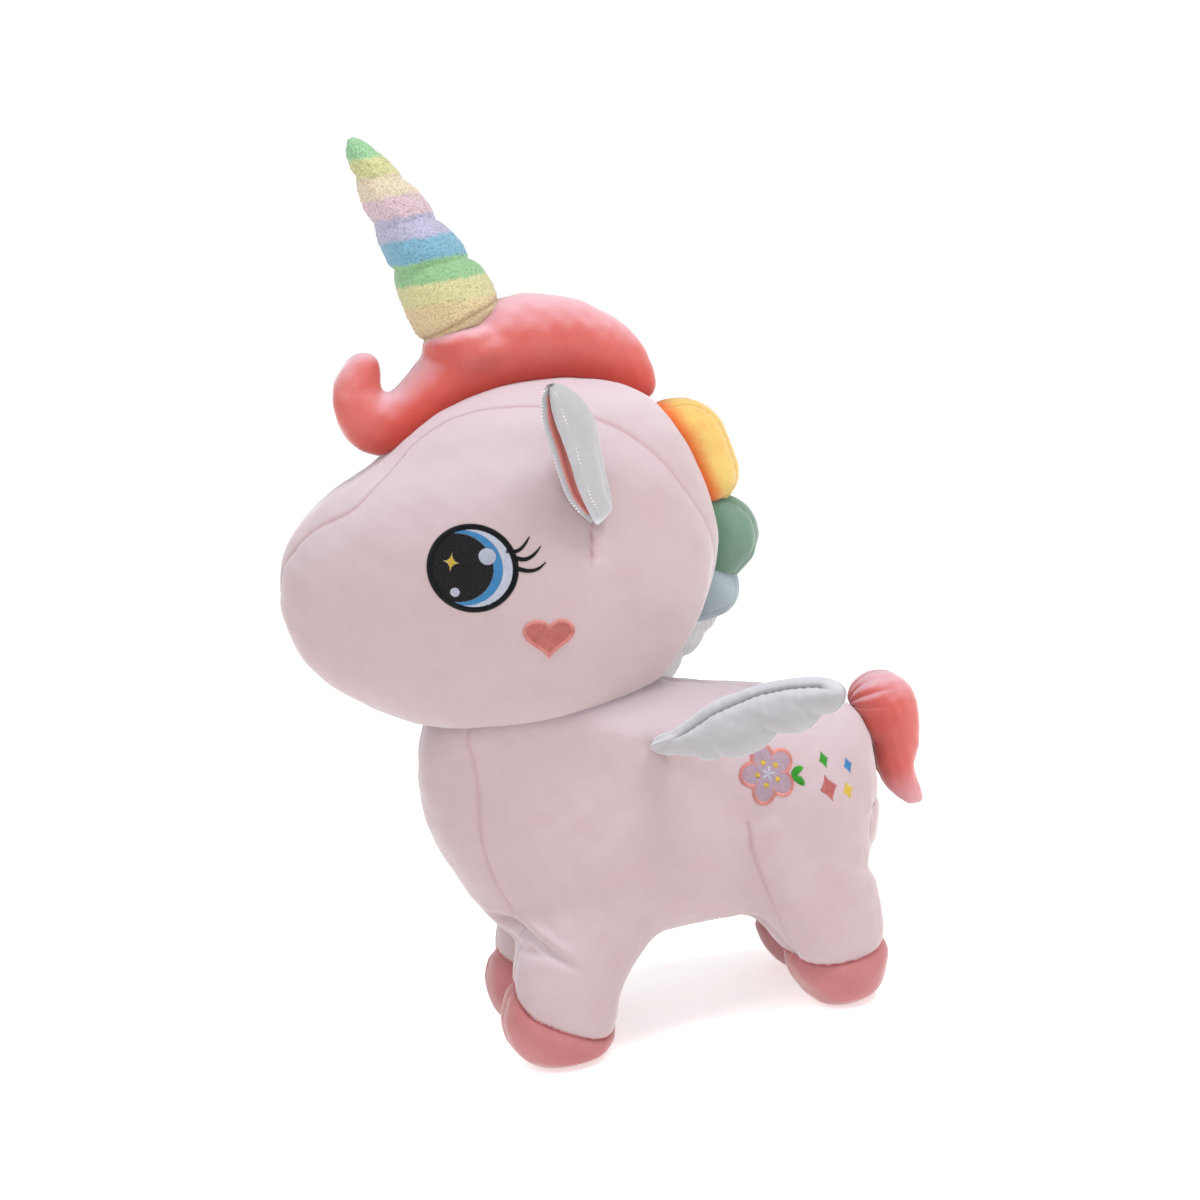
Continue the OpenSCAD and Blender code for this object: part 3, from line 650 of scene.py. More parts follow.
def barrel_shell():
    r = even_rows(BARREL_ROWS, 90, np.array([1, 1, 1, 0]))
    into_head = r[-1:].copy()
    into_head[0, :4] += [7, -14, -14, -0.18]
    r = np.concatenate([r, into_head])
    rings = sections(r[:, 0], -r[:, 1], r[:, 2], r[:, 3] * BODY_HALF_W, r[:, 4], r[:, 5],
                     r[:, 0] * 0, 180)
    return loft(rings)


def front_hoof_field(p):
    """Above 0 on the leg, below 0 on the hoof. The seam dips on the outer side."""
    dip = 13 * ease((np.abs(p[:, 1]) - LEG_Y) / 35)
    return (p[:, 2] - 57 + 0.6 * (p[:, 0] + 104) + dip) * 0.86


def hind_hoof_field(p):
    dip = 5 * ease((np.abs(p[:, 1]) - LEG_Y) / 35)
    return p[:, 2] - 37 + dip


def gusset_top(x):
    """Height up to which the belly gusset reaches, at each x."""
    return np.interp(x, [-85, -84, -62, 40, 110, 150], [400, 140, 112, 100, 104, 118])


HAUNCH_SEAM = [(58, 133), (58, 116), (61.5, 99), (66.5, 78), (72.5, 57), (78, 40)]
LEG_CREASE = [(-104, 95), (-92, 93), (-83, 86), (-70, 72.5), (-61.5, 65), (-54, 58)]
LEG_FOLD = [(-106, 83), (-96, 81), (-84.5, 77), (-70, 72)]
RUMP_FOLD = [(152, 80), (138, 83), (124, 92), (112, 104)]


def body_folds(co, nor):
    """How far each point moves along the surface's own normal, and the seam mark."""
    x, y, z = co.T
    a = np.abs(y)
    ripple = 1 + 0.25 * np.sin((x + z + a) * 0.62)
    move = 0.55 * lumps(co, 46, 3) + 0.22 * lumps(co, 17, 4)
    mark = np.zeros(len(co))

    def seam(d, weight, depth=1.1, soft=1.6):
        nonlocal move, mark
        move -= weight * (depth * ripple * bell(d, 1.5) + soft * bell(d, 7))
        mark = np.maximum(mark, weight * bell(d, 0.95))

    low = ease((gusset_top(x) - z + 3) / 6)
    haunch_front = (x > 40) & (x < 84)
    gusset = low * np.where(haunch_front & (a > 30), 0, 1)
    seam(a - GUSSET_HALF_W, gusset * ease((x + 140) / 4) * 0.5)
    seam(z - gusset_top(x), ease((GUSSET_HALF_W - a) / 4) * ease((x - 118) / 8))
    seam(y, ease((z - 120) / 4) * ease((x - 12) / 10), 0.9, 1.2)
    outer = ease((a - 34) / 8) * ease((np.abs(nor[:, 1]) - 0.05) / 0.2)
    d, s = to_line(x, z, HAUNCH_SEAM)
    seam(d, outer * ease((1 - s) / 0.02 + 0.6) * 0.6, 1.6, 1.6)
    behind = x - np.interp(z, [40, 57, 78, 99, 116, 133], [78, 72.5, 66.5, 61.5, 58, 58])
    swell = ease(behind / 3 + 0.5) * bell(behind - 12, 16) * ease((136 - z) / 14)
    sink = ease(-behind / 3 + 0.5) * bell(behind + 9, 9) * ease((128 - z) / 18)
    move += outer * (2.6 * swell - 2.4 * sink) * ease((z - 30) / 12)
    for line, depth, width in ((LEG_CREASE, 4.2, 3.4), (LEG_FOLD, 2.4, 3.2), (RUMP_FOLD, 2.6, 6)):
        d, s = to_line(x, z, line)
        fade = ease((1 - s) / 0.55) * ease((a - 16) / 14)
        move -= fade * depth * bell(d, width)
        over = z - np.interp(x, *np.array(sorted(line)).T)
        move += fade * 0.45 * depth * bell(over - 1.9 * width, width * 1.6)
    for field, where in ((front_hoof_field, x < 0), (hind_hoof_field, x > 0)):
        f = field(co)
        leg = where & (z < FRONT_HOOF_TOP)
        move -= np.where(leg, 1.6 * ripple * bell(f, 1.5) + 0.9 * bell(f, 6), 0)
        move += np.where(leg, 1.5 * ease(-f / 7) * bell(f + 9, 14), 0)
        mark = np.maximum(mark, np.where(leg, bell(f, 0.9), 0))
    flank = bell(x + 18, 34) * bell(z - 150, 30) * outer
    move += 0.7 * flank * np.sin(0.14 * (x - 1.4 * z)) * ease((z - 100) / 20)
    return move * ease((z - 1) / 6), mark


def make_body():
    parts = [barrel_shell()]
    for rows in (FRONT_LEG_ROWS, HIND_LEG_ROWS):
        parts += [leg_shell(rows, -1), leg_shell(rows, 1)]
    co, quads = remesh(*joined(parts), 2.7)
    co = smoothed(co, quads, 4)
    rounded = ease((118 - co[:, 2]) / 14) * np.where(co[:, 0] > 118, 0.25, 1)
    co = smoothed(co, quads, 46, fill=0.92, weight=rounded)
    co, quads = subdivide(co, quads)
    co = smoothed(co, quads, 2)
    nor = normals_of(co, quads)
    move, mark = body_folds(co, nor)
    co = co + nor * move[:, None]
    co[:, 2] = np.maximum(co[:, 2], 0)
    for field in (front_hoof_field, hind_hoof_field):
        co = snapped(co, quads, field, 0.8)
    nor = normals_of(co, quads)
    mid = co[quads].mean(1)
    front_hoof = (mid[:, 0] < 0) & (mid[:, 2] < FRONT_HOOF_TOP) & (front_hoof_field(mid) < 0)
    hind_hoof = (mid[:, 0] > 0) & (mid[:, 2] < HIND_HOOF_TOP) & (hind_hoof_field(mid) < 0)
    hoof = front_hoof | hind_hoof
    left = mid[:, 1] < 0
    gusset = (np.abs(mid[:, 1]) < GUSSET_HALF_W) & (mid[:, 2] < gusset_top(mid[:, 0])) & ~hoof
    plan = [
        ("body_left_side", left & ~gusset & ~hoof, PINK, "pink_plush",
         ["body_left_panel", "body_stuffing"]),
        ("body_right_side", ~left & ~gusset & ~hoof, PINK, "pink_plush", ["body_right_panel"]),
        ("belly_gusset", gusset, PINK, "pink_plush", ["chest_belly_gusset"]),
        ("front_left_foot", front_hoof & left, HOOF, "hoof_plush", ["front_left_hoof"]),
        ("front_right_foot", front_hoof & ~left, HOOF, "hoof_plush", ["front_right_hoof"]),
        ("hind_left_foot", hind_hoof & left, HOOF, "hoof_plush", ["hind_left_hoof"]),
        ("hind_right_foot", hind_hoof & ~left, HOOF, "hoof_plush", ["hind_right_hoof"]),
    ]
    for name, chosen, material, slot, nodes in plan:
        c, q, (m, k) = picked(co, quads, chosen, mark, nor)
        ob = put(name, c, [q], material, "toy", nodes, slot, {"seam": m}, k)
    return co, quads


# ---- head --------------------------------------------------------------------
EAR_DART = [(-4.6, 337), (-7, 326), (-10.4, 311)]


def gusset_field(co):
    """Below zero on the head's top gusset, zero along its seam."""
    x, y, z = co.T
    half = sum(np.interp(x + k, GUSSET_X, GUSSET_HALF) for k in (-6, 0, 6)) / 3
    nape = np.interp(z, GUSSET_Z, NAPE_HALF)
    half = np.where(x > 16, nape, half)
    floor = np.interp(x, [-200, -120, 16, 17], [322, 318, 300, 180])
    return np.maximum(np.abs(y) - half, floor - z)


def make_head():
    scale = np.array([HEAD_H, MUZZLE_X * 0.7, NAPE_X * 0.7, HEAD_HALF_W * 0.7])
    r = even_rows(HEAD_ROWS, 210, scale)
    under = r[:1].copy()
    under[0, :4] += [-0.04, -0.07, -0.07, -0.10]
    r = np.concatenate([under, r])
    rings = sections(NECK_Z + HEAD_H * r[:, 0], -MUZZLE_X * r[:, 1], NAPE_X * r[:, 2],
                     HEAD_HALF_W * r[:, 3], r[:, 4], r[:, 5], r[:, 0] * 0, 420)
    co, faces = loft(rings)
    quads = faces[0]
    nor = normals_of(co, quads)
    x, y, z = co.T
    a = np.abs(y)
    over = ease((z - NECK_Z - 8) / 12)
    ripple = 1 + 0.25 * np.sin(x * 0.7 + z * 0.5)
    d = gusset_field(co)
    chin = ease((320 - z) / 5) * ease((-60 - x) / 8)
    move = 0.5 * lumps(co, 60, 8) + 0.18 * lumps(co, 18, 9)
    move -= over * (0.75 * ripple * bell(d, 1.4) + 0.9 * bell(d, 9))
    move -= over * chin * (0.75 * ripple * bell(y, 1.4) + 0.9 * bell(y, 9))
    move += over * 0.5 * bell(np.abs(d) - 13, 8)
    mark = over * np.maximum(bell(d, 0.9), chin * bell(y, 0.9)) * 0.7
    dart, share = to_line(x, z, EAR_DART)
    side = ease((a - 60) / 10)
    move -= side * (1.3 * bell(dart, 1.6) + 1.6 * bell(dart, 8)) * ease((1.05 - share) / 0.2)
    mark = np.maximum(mark, side * bell(dart, 0.9))
    pull = np.hypot(x + 14, z - 346)
    move -= side * 2.2 * bell(pull, 15)
    co = co + nor * (move * ease((z - NECK_Z + 1) / 7))[:, None]
    nor = normals_of(co, quads)
    mid = co[quads].mean(1)
    gusset = gusset_field(mid) < 0
    left = mid[:, 1] < 0
    plan = [
        ("head_left_side", left & ~gusset, ["head_left_panel", "head_stuffing"]),
        ("head_right_side", ~left & ~gusset, ["head_right_panel"]),
        ("head_top_gusset", gusset, ["head_gusset"]),
    ]
    for name, chosen, nodes in plan:
        c, q, (m, k) = picked(co, quads, chosen, mark, nor)
        ob = put(name, c, [q], PINK, "toy", nodes, "pink_plush", {"seam": m}, k)
    return co, quads


# ---- stuffed rolls: forelock, mane lobes, tail -------------------------------
def ball(centre, radii, n=20):
    t = np.linspace(0, math.pi, n // 2 + 2)[1:-1]
    p = np.linspace(0, TAU, n, endpoint=False)
    rings = np.stack(
        [
            np.outer(np.sin(t), np.cos(p)),
            np.outer(np.sin(t), np.sin(p)),
            np.outer(-np.cos(t), np.ones(n)),
        ],
        2,
    )
    co, faces = loft(rings)
    co[-2:, 2] = (-1, 1)
    return co * radii + centre, faces


def roll(beads, per_bead, cell, rounds, extra=()):
    """One smooth stuffed roll through a row of beads, with any extra balls."""
    r = spline(beads, np.linspace(0, len(beads) - 1, (len(beads) - 1) * per_bead + 1))
    balls = [ball((b[0], 0, b[1]), (b[2], b[3], b[2])) for b in r]
    co, quads = remesh(*joined(balls + list(extra)), cell)
    return smoothed(co, quads, rounds), quads


def puffed(co, quads, still):
    """Blows a pad up with Cloth pressure, as filling does, and caps how far it moves."""
    ob = linked("work", new_mesh("work", co, [quads]))
    hold = ob.vertex_groups.new(name="hold")
    for level in (1.0, 0.5):
        chosen = np.where((still > level - 0.26) & (still <= level + 0.26))[0]
        hold.add(chosen.tolist(), level, "REPLACE")
    mod = ob.modifiers.new("puff", "CLOTH")
    cloth = mod.settings
    cloth.use_pressure = True
    cloth.uniform_pressure_force = PUFF_PRESSURE
    cloth.effector_weights.gravity = 0
    cloth.vertex_group_mass = "hold"
    cloth.pin_stiffness = 1.5
    cloth.tension_stiffness = 18
    cloth.compression_stiffness = 18
    cloth.shear_stiffness = 6
    cloth.bending_stiffness = 0.6
    scene = bpy.context.scene
    scene.frame_start, scene.frame_end = 1, PUFF_FRAMES
    mod.point_cache.frame_start, mod.point_cache.frame_end = 1, PUFF_FRAMES
    for frame_number in range(1, PUFF_FRAMES + 1):
        scene.frame_set(frame_number)
    graph = bpy.context.evaluated_depsgraph_get()
    made = bpy.data.meshes.new_from_object(ob.evaluated_get(graph))
    blown = arrays(made)[0]
    scene.frame_set(1)
    bpy.data.objects.remove(ob)
    move = blown - co
    size = np.linalg.norm(move, axis=1, keepdims=True)
    return co + move * np.minimum(1, PUFF_CAP / np.maximum(size, 1e-6))


def near_surface(co, tree, reach):
    """1 on a surface, fading to 0 at that distance from it."""
    gaps = [tree.find_nearest(p, reach)[3] for p in co.tolist()]
    far = np.array([reach if gap is None else gap for gap in gaps])
    return ease(1 - far / reach)


def tree_of(co, quads):
    return BVHTree.FromPolygons(co.tolist(), quads.tolist())


def make_roll(name, beads, cell, rounds, material, slot, nodes, touching, shade_reach,
              welts=(), seed=1, extra=()):
    co, quads = roll(beads, 7, cell, rounds, extra)
    edge = bell(co[:, 1], 2.2)
    co = puffed(co, quads, edge)
    co, quads = subdivide(co, quads)
    nor = normals_of(co, quads)
    rim = ease(1.25 - np.abs(nor[:, 1]) * 1.2)
    ripple = 1 + 0.3 * np.sin((co[:, 0] - co[:, 2]) * 0.75)
    move = 0.35 * lumps(co, 26, seed) + 0.15 * lumps(co, 9, seed + 1)
    mark = np.zeros(len(co))
    for at in (0, *welts):
        d = np.abs(co[:, 1]) - at if at else co[:, 1]
        move -= rim * (0.9 * ripple * bell(d, 1.3) + 0.8 * bell(d, 5))
        mark = np.maximum(mark, rim * bell(d, 0.85))
    co = co + nor * move[:, None]
    # Painted shade: the deeper colour near the surfaces that this piece touches, fading out over the given
    # reach.
    painted_shade = np.zeros(len(co))
    for tree in touching:
        painted_shade = np.maximum(painted_shade, near_surface(co, tree, shade_reach))
    attributes = {"seam": mark * 0.8, "painted_shade": painted_shade * 0.85}
    ob = put(name, co, [quads], material, "toy", nodes, slot, attributes)
    return co, quads


# ---- horn --------------------------------------------------------------------
HORN_BASE = np.array([-52.5, 0, 463])
HORN_LEN = 127
# Radius of the horn at each height along it, over the bulges
HORN_H = [-12, -7, -3, 0, 5, 15, 24, 34, 47, 60, 70, 84, 95, 110, 120, 124.5, 127]
HORN_R = [9, 20, 25.4, 27, 27.8, 28, 27, 25.2, 22.4, 20.2, 18.7, 16.9, 14.6, 10.4, 7.2, 4.8, 0.8]
HORN_LEAN = math.radians(18.5)
HORN_PITCH = 30.5
HORN_SINK = 12
# Height of each colour change above the floor, from the base up, and the colours
STRIPE_Z = [475, 488, 501.5, 516, 530, 543, 556.5, 568]
STRIPES = [
    (206, 186, 146), (198, 194, 146), (138, 180, 134), (118, 164, 186), (172, 170, 194),
    (200, 176, 184), (206, 192, 168), (192, 192, 140), (144, 188, 146),
]


def horn_frame():
    up = np.array([-math.sin(HORN_LEAN), 0, math.cos(HORN_LEAN)])
    return np.array([math.cos(HORN_LEAN), 0, math.sin(HORN_LEAN)]), np.array([0, 1, 0]), up


def horn_fleece():
    """Curly fleece in rainbow stripes, with painted shade in the gaps between the curls."""
    n = Nodes("rainbow_fleece")
    split = n.add("ShaderNodeSeparateXYZ")
    n.link(n.place, split.inputs["Vector"])
    wobble = n.add("ShaderNodeMath", operation="MULTIPLY_ADD")
    n.link(n.noise(160, 2), wobble.inputs[0])
    wobble.inputs[1].default_value = 0.005
    n.link(split.outputs["Z"], wobble.inputs[2])
    colour = srgb(*STRIPES[0])
    for z, stripe in zip(STRIPE_Z, STRIPES[1:]):
        edge = n.ramp(wobble.outputs[0], z * MM + 0.0025 - 0.0016, z * MM + 0.0025 + 0.0016)
        colour = n.mix(colour, srgb(*stripe), edge)
    # Painted shade: darker where the coarse bump, made from the same noise, is lowest.
    gaps = n.ramp(n.noise(900, 2, 0.6), 0.32, 0.58, 0.5, 0.0)
    colour = n.mix(colour, (0.30, 0.27, 0.24, 1), gaps, "MULTIPLY")
    colour = n.mix(colour, srgb(176, 150, 130), n.attribute("seam"), "MULTIPLY")
    n.finish(colour, 0.95, 0.1, 0.3, 0.5)
    coarse = n.bump(n.noise(900, 2, 0.6), 0.0011, 0.8)
    n.link(n.bump(n.noise(2200, 2, 0.7), 0.0004, 0.6, coarse), n.shader.inputs["Normal"])
    return n.material


def make_horn():
    rings, around = 230, 150
    across, side, up = horn_frame()
    h = np.linspace(-HORN_SINK, HORN_LEN, rings)[:, None]
    t = np.linspace(0, TAU, around, endpoint=False)[None, :]
    s = h / HORN_LEN
    full = sum(np.interp(h + k, HORN_H, HORN_R) for k in (-2, -1, 0, 1, 2)) / 5
    turn = (h - 6.5) / HORN_PITCH + (t - TAU * 0.75) / TAU
    wave = 0.5 + 0.5 * np.cos(TAU * turn)
    fade = ease((1.0 - s) / 0.22) * ease((h - 15) / 14)
    pinch = (2.2 * wave**2.2 + 1.3 * wave**16) * fade * (0.35 + 0.65 * full / 28)
    r = full - pinch
    r = r - 0.9 * bell(h, 1.8)
    bow = -6 * s * s
    local = [r * np.cos(t) + bow, r * np.sin(t), h + 0 * t]
    grid = HORN_BASE + sum(local[k][:, :, None] * (across, side, up)[k] for k in range(3))
    co, faces = loft(grid)
    quads = faces[0]
    nor = normals_of(co, quads)
    curls = lumps(co, 2.6, 21) * 0.22 + lumps(co, 1.7, 22) * 0.20 + lumps(co, 7, 23) * 0.25
    co = co + nor * curls[:, None]
    mark = np.concatenate([(bell(h, 1.3) + 0 * t).ravel(), [0, 0]]) * 0.6
    ob = put("rainbow_horn", co, faces, horn_fleece(), "toy", ["horn_cover", "horn_stuffing"],
             "horn_fleece", {"seam": mark})
    return co, quads


# ---- ears --------------------------------------------------------------------
EAR_ROWS = [
    [0.00, 12.5, 7.0, 0.5],
    [0.03, 14.5, 8.0, 1],
    [0.09, 16, 8.6, 1.5],
    [0.18, 17.5, 9.0, 2],
    [0.36, 19.5, 9.2, 2.5],
    [0.62, 22.5, 9, 2],
    [0.80, 20, 8, 3],
    [0.91, 14.5, 6.5, 3],
    [0.97, 9, 4.5, 2],
    [1.00, 4.5, 3, 1],
]
EAR_THICK = 4.6


def ear_frame():
    foot = np.array([-5, -94, 338])
    tip = np.array([-20, -117, 421])
    axis = unit(tip - foot)
    mouth = unit(flat_to([-0.91, -0.41, 0], axis))
    return foot, tip, axis, mouth, np.cross(axis, mouth)


def make_ear(side):
    """One ear: a leaf folded along its middle, white outside and coral inside."""
    foot, tip, axis, mouth, out = ear_frame()
    rows = even_rows(EAR_ROWS, 84, np.array([83, 1, 1, 1]))
    low = rows[:1].copy()
    low[0, :3] = [-0.035, 7, 4]
    rows = np.concatenate([low, rows])
    arc, rim = 44, 10
    turn = np.concatenate([
        np.linspace(-90, 90, arc), np.full(rim, 90), np.linspace(90, -90, arc), np.full(rim, -90)
    ])
    layer = np.concatenate([
        np.zeros(arc), np.linspace(0, 1, rim + 2)[1:-1], np.ones(arc), np.linspace(1, 0, rim + 2)[1:-1]
    ])
    turn = np.radians(turn)[None, :]
    layer = layer[None, :]
    share, depth, gap, fore = (rows[:, k][:, None] for k in range(4))
    thick = np.minimum(EAR_THICK, gap * 0.62)
    t = layer * thick
    bulge = np.sqrt(np.maximum(0, 1 - (2 * layer - 1) ** 2)) * thick * 0.5
    u = fore - np.maximum(0.5, depth - t) * np.cos(turn) + np.where(
        np.abs(np.cos(turn)) < 1e-6, bulge, 0)
    v = np.maximum(0.3, gap - t) * np.sin(turn)
    far = np.clip(-np.sin(turn), 0, 1) ** 1.5
    near = np.clip(np.sin(turn), 0, 1) ** 1.5
    u = u + (5.0 * far + 3.0 * near) * ease(share / 0.30 + 0.25) * ease((1.02 - share) / 0.35)
    outer = layer < 0.5
    valley = bell(np.degrees(turn) - 28, 16) * ease(share / 0.15) * ease((0.75 - share) / 0.4)
    ridge = bell(np.degrees(turn) + 2, 13) * ease(share / 0.15) * ease((0.85 - share) / 0.4)
    v = v - np.where(outer, 0.9 * valley, 0) * np.sign(v)
    u = u - np.where(outer, 0.8 * ridge - 0.9 * valley, 0)
    grid = (foot + (tip - foot) * share[:, :, None] + mouth * u[:, :, None]
            + out * v[:, :, None])
    co, faces = loft(grid)
    n = turn.shape[1]
    quads = faces[0]
    nor = normals_of(co, quads)
    flat = np.concatenate([np.broadcast_to(layer, u.shape).ravel(), [0, 0]])
    angle = np.concatenate([np.broadcast_to(np.degrees(turn), u.shape).ravel(), [0, 0]])
    edge = bell(flat - 1.0, 0.12) * bell(np.abs(angle) - 84, 5)
    move = -0.8 * edge + 0.25 * lumps(co, 16, 31) + 0.1 * lumps(co, 6, 32)
    co = co + nor * move[:, None]
    column = np.tile(np.arange(n), len(rows) - 1)
    row = np.repeat(rows[:-1, 0], n)
    inside = (column >= arc + rim + 1) & (column < 2 * arc + rim - 1) & (row > 0.02) & (row < 0.93)
    nor = normals_of(co, quads)
    flip = side > 0
    name = "right" if flip else "left"
    pieces = []
    for label, chosen, material, slot, node in (
        ("ear_back_leaf", ~inside, WHITE, "white_plush", "ear_back"),
        ("ear_coral_lining", inside, LINING, "ear_lining", "ear_lining"),
    ):
        c, q, (e, k) = picked(co, quads, chosen, edge, nor)
        c, faces, k = on_side(side, c, [q], k)
        ob = put(f"{name}_{label}", c, faces, material, None, [f"{name}_{node}"], slot,
                 {"seam": e * 0.5}, k)
        pieces.append(ob)
    stitch_rows = grid[6:-4:2]
    points, faces = ear_stitches(stitch_rows, arc, rim, mouth)
    if flip:
        points, faces = mirrored(points, faces)
    pieces.append(put(f"{name}_ear_edge_stitches", points, faces, WHITE_STITCH, None, [],
                      "white_plush"))
    for ob in pieces:
        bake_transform(ob)


def ear_stitches(rows, arc, rim, mouth):
    """Small overcast stitches over the near and the far edge."""
    parts = []
    for k in range(len(rows) - 1):
        for a, b in ((arc - 3, arc + rim + 1), (2 * arc + 2 * rim - 1, 2 * arc + rim - 2)):
            start, end = rows[k][a % rows.shape[1]], rows[k + 1][b % rows.shape[1]]
            middle = (start + end) / 2 + mouth * 1.9
            parts.append(stitch_tube([start, middle, end], 0.42))
    return joined(parts)


def stitch_tube(points, radius, sides=6):
    """A short bent thread that dives into the fabric at both ends."""
    p = np.asarray(points, float)
    path = spline(p, np.linspace(0, len(p) - 1, 7))
    along = np.gradient(path, axis=0)
    along /= np.linalg.norm(along, axis=1, keepdims=True)
    first = unit(np.cross(along[0], [0.3, 0.5, 0.8]))
    rings = []
    for c, d, k in zip(path, along, np.linspace(0, 1, 7)):
        first = unit(flat_to(first, d))
        second = np.cross(d, first)
        r = radius * (0.35 + 0.65 * math.sin(math.pi * min(max(k, 0.08), 0.92)) ** 0.4)
        turn = np.linspace(0, TAU, sides, endpoint=False)[:, None]
        rings.append(c + r * (np.cos(turn) * first + np.sin(turn) * second))
    return loft(np.array(rings))


# ---- wings -------------------------------------------------------------------
WING_ROOT = np.array([11, -75.5, 192])
WING_SPAN = unit([0.66, -0.70, 0.26])
WING_CHORD = unit(flat_to([-0.1, -0.40, -0.90], WING_SPAN))
WING_FLAT = np.cross(WING_SPAN, WING_CHORD)
# Outline in the wing's own plane: along the span, across it, from the root over the
# leading edge to the tip and back along the scalloped trailing edge
WING_EDGE = [
    (-4, 1), (-2, -4.5), (6, -6), (16, -6.5), (29, -11), (46, -15.5), (66, -17.5), (86, -17),
    (108, -14), (129, -8.5), (140, -3), (146.5, 5), (146, 13), (140, 18.5), (132, 20),
    (126.5, 19.2), (121, 23), (113, 25.5), (102, 25), (93, 21.5), (84, 26), (74, 28.5),
    (62, 28.5), (54, 26.5), (49.5, 23.8), (43, 25), (36, 22.5), (27, 16.5), (17, 14), (6, 9),
    (-2, 7),
]
WING_CHANNEL = [(14, 4), (37, -2), (52, -5.5), (68, -7.5), (90, -8.2), (110, -5.8), (131, -0.4),
                (141, 6)]
WING_LINES = [[(49.5, 23.8), (44, 15), (41, 8)], [(93, 21.5), (86, 12), (83, 4)],
              [(126.5, 19.2), (119, 12), (115, 6)]]
WING_HALF = 8.2
WING_BROAD = 0.87


def closed_curve(points, per_point):
    p = np.asarray(points, float)
    ring = np.concatenate([p[-1:], p, p[:2]])
    return spline(ring, np.linspace(1, len(p) + 1, len(p) * per_point, endpoint=False))


def slab(outline, half):
    """A flat closed slab with that outline, in its own plane."""
    n = len(outline)
    low = np.column_stack([outline, np.full(n, -half)])
    high = np.column_stack([outline, np.full(n, half)])
    return loft(np.array([low, high]))


def make_wing(side):
    edge = closed_curve(WING_EDGE, 5)
    co, quads = remesh(*slab(edge, 2.0), 1.7)
    d, _ = to_line(co[:, 0], co[:, 1], np.concatenate([edge, edge[:1]]))
    d = np.maximum(d - 0.4, 0)
    crown = WING_HALF * np.sqrt(np.maximum(0, 1 - (1 - np.clip(d / 14, 0, 1)) ** 2))
    co[:, 2] = np.clip(co[:, 2] / 1.2, -1, 1) * np.maximum(crown, 0.35)
    co, quads = remesh(co, [quads], 1.7)
    co = smoothed(co, quads, 5)
    d, _ = to_line(co[:, 0], co[:, 1], np.concatenate([edge, edge[:1]]))
    channel, _ = to_line(co[:, 0], co[:, 1], WING_CHANNEL)
    still = np.maximum(bell(d, 2.5), bell(channel, 2.0))
    co = puffed(co, quads, still)
    co, quads = subdivide(co, quads)
    nor = normals_of(co, quads)
    channel, share = to_line(co[:, 0], co[:, 1], WING_CHANNEL)
    face = ease(np.abs(nor[:, 2]) * 1.6 - 0.1)
    ripple = 1 + 0.3 * np.sin(co[:, 0] * 1.1)
    fade = ease((1.02 - share) / 0.12) * ease(share / 0.12)
    move = -face * fade * (1.5 * ripple * bell(channel, 1.3) + 1.7 * bell(channel, 5))
    mark = face * fade * bell(channel, 0.8) * 0.8
    for line in WING_LINES:
        gap, share = to_line(co[:, 0], co[:, 1], line)
        move -= face * (1 - share) * (0.9 * bell(gap, 1.8) + 0.6 * bell(gap, 5))
    gather = bell(co[:, 0] - 4, 14)
    move += 0.9 * gather * np.sin(co[:, 1] * 0.9)
    move += 0.3 * lumps(co, 24, 41) + 0.12 * lumps(co, 8, 42)
    rim = ease(1 - np.abs(nor[:, 2]) * 1.4)
    move -= rim * 0.6 * bell(co[:, 2], 1.1)
    mark = np.maximum(mark, rim * bell(co[:, 2], 0.7) * 0.7)
    co = co + nor * move[:, None]
    front = co[quads].mean(1)[:, 2] < 0
    world = (WING_ROOT + co[:, :1] * WING_SPAN + co[:, 1:2] * WING_BROAD * WING_CHORD + co[:, 2:] * WING_FLAT)
    nor = normals_of(world, quads)
    flip = side > 0
    name = "right" if flip else "left"
    for label, chosen, nodes in (
        ("wing_outer_face", front, ["wing_outer", "wing_stuffing"]),
        ("wing_inner_face", ~front, ["wing_inner"]),
    ):
        c, q, (m, k) = picked(world, quads, chosen, mark, nor)
        c, faces, k = on_side(side, c, [q], k)
        ob = put(f"{name}_{label}", c, faces, WHITE, None, [f"{name}_{n}" for n in nodes],
                 "white_plush", {"seam": m}, k)
        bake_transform(ob)


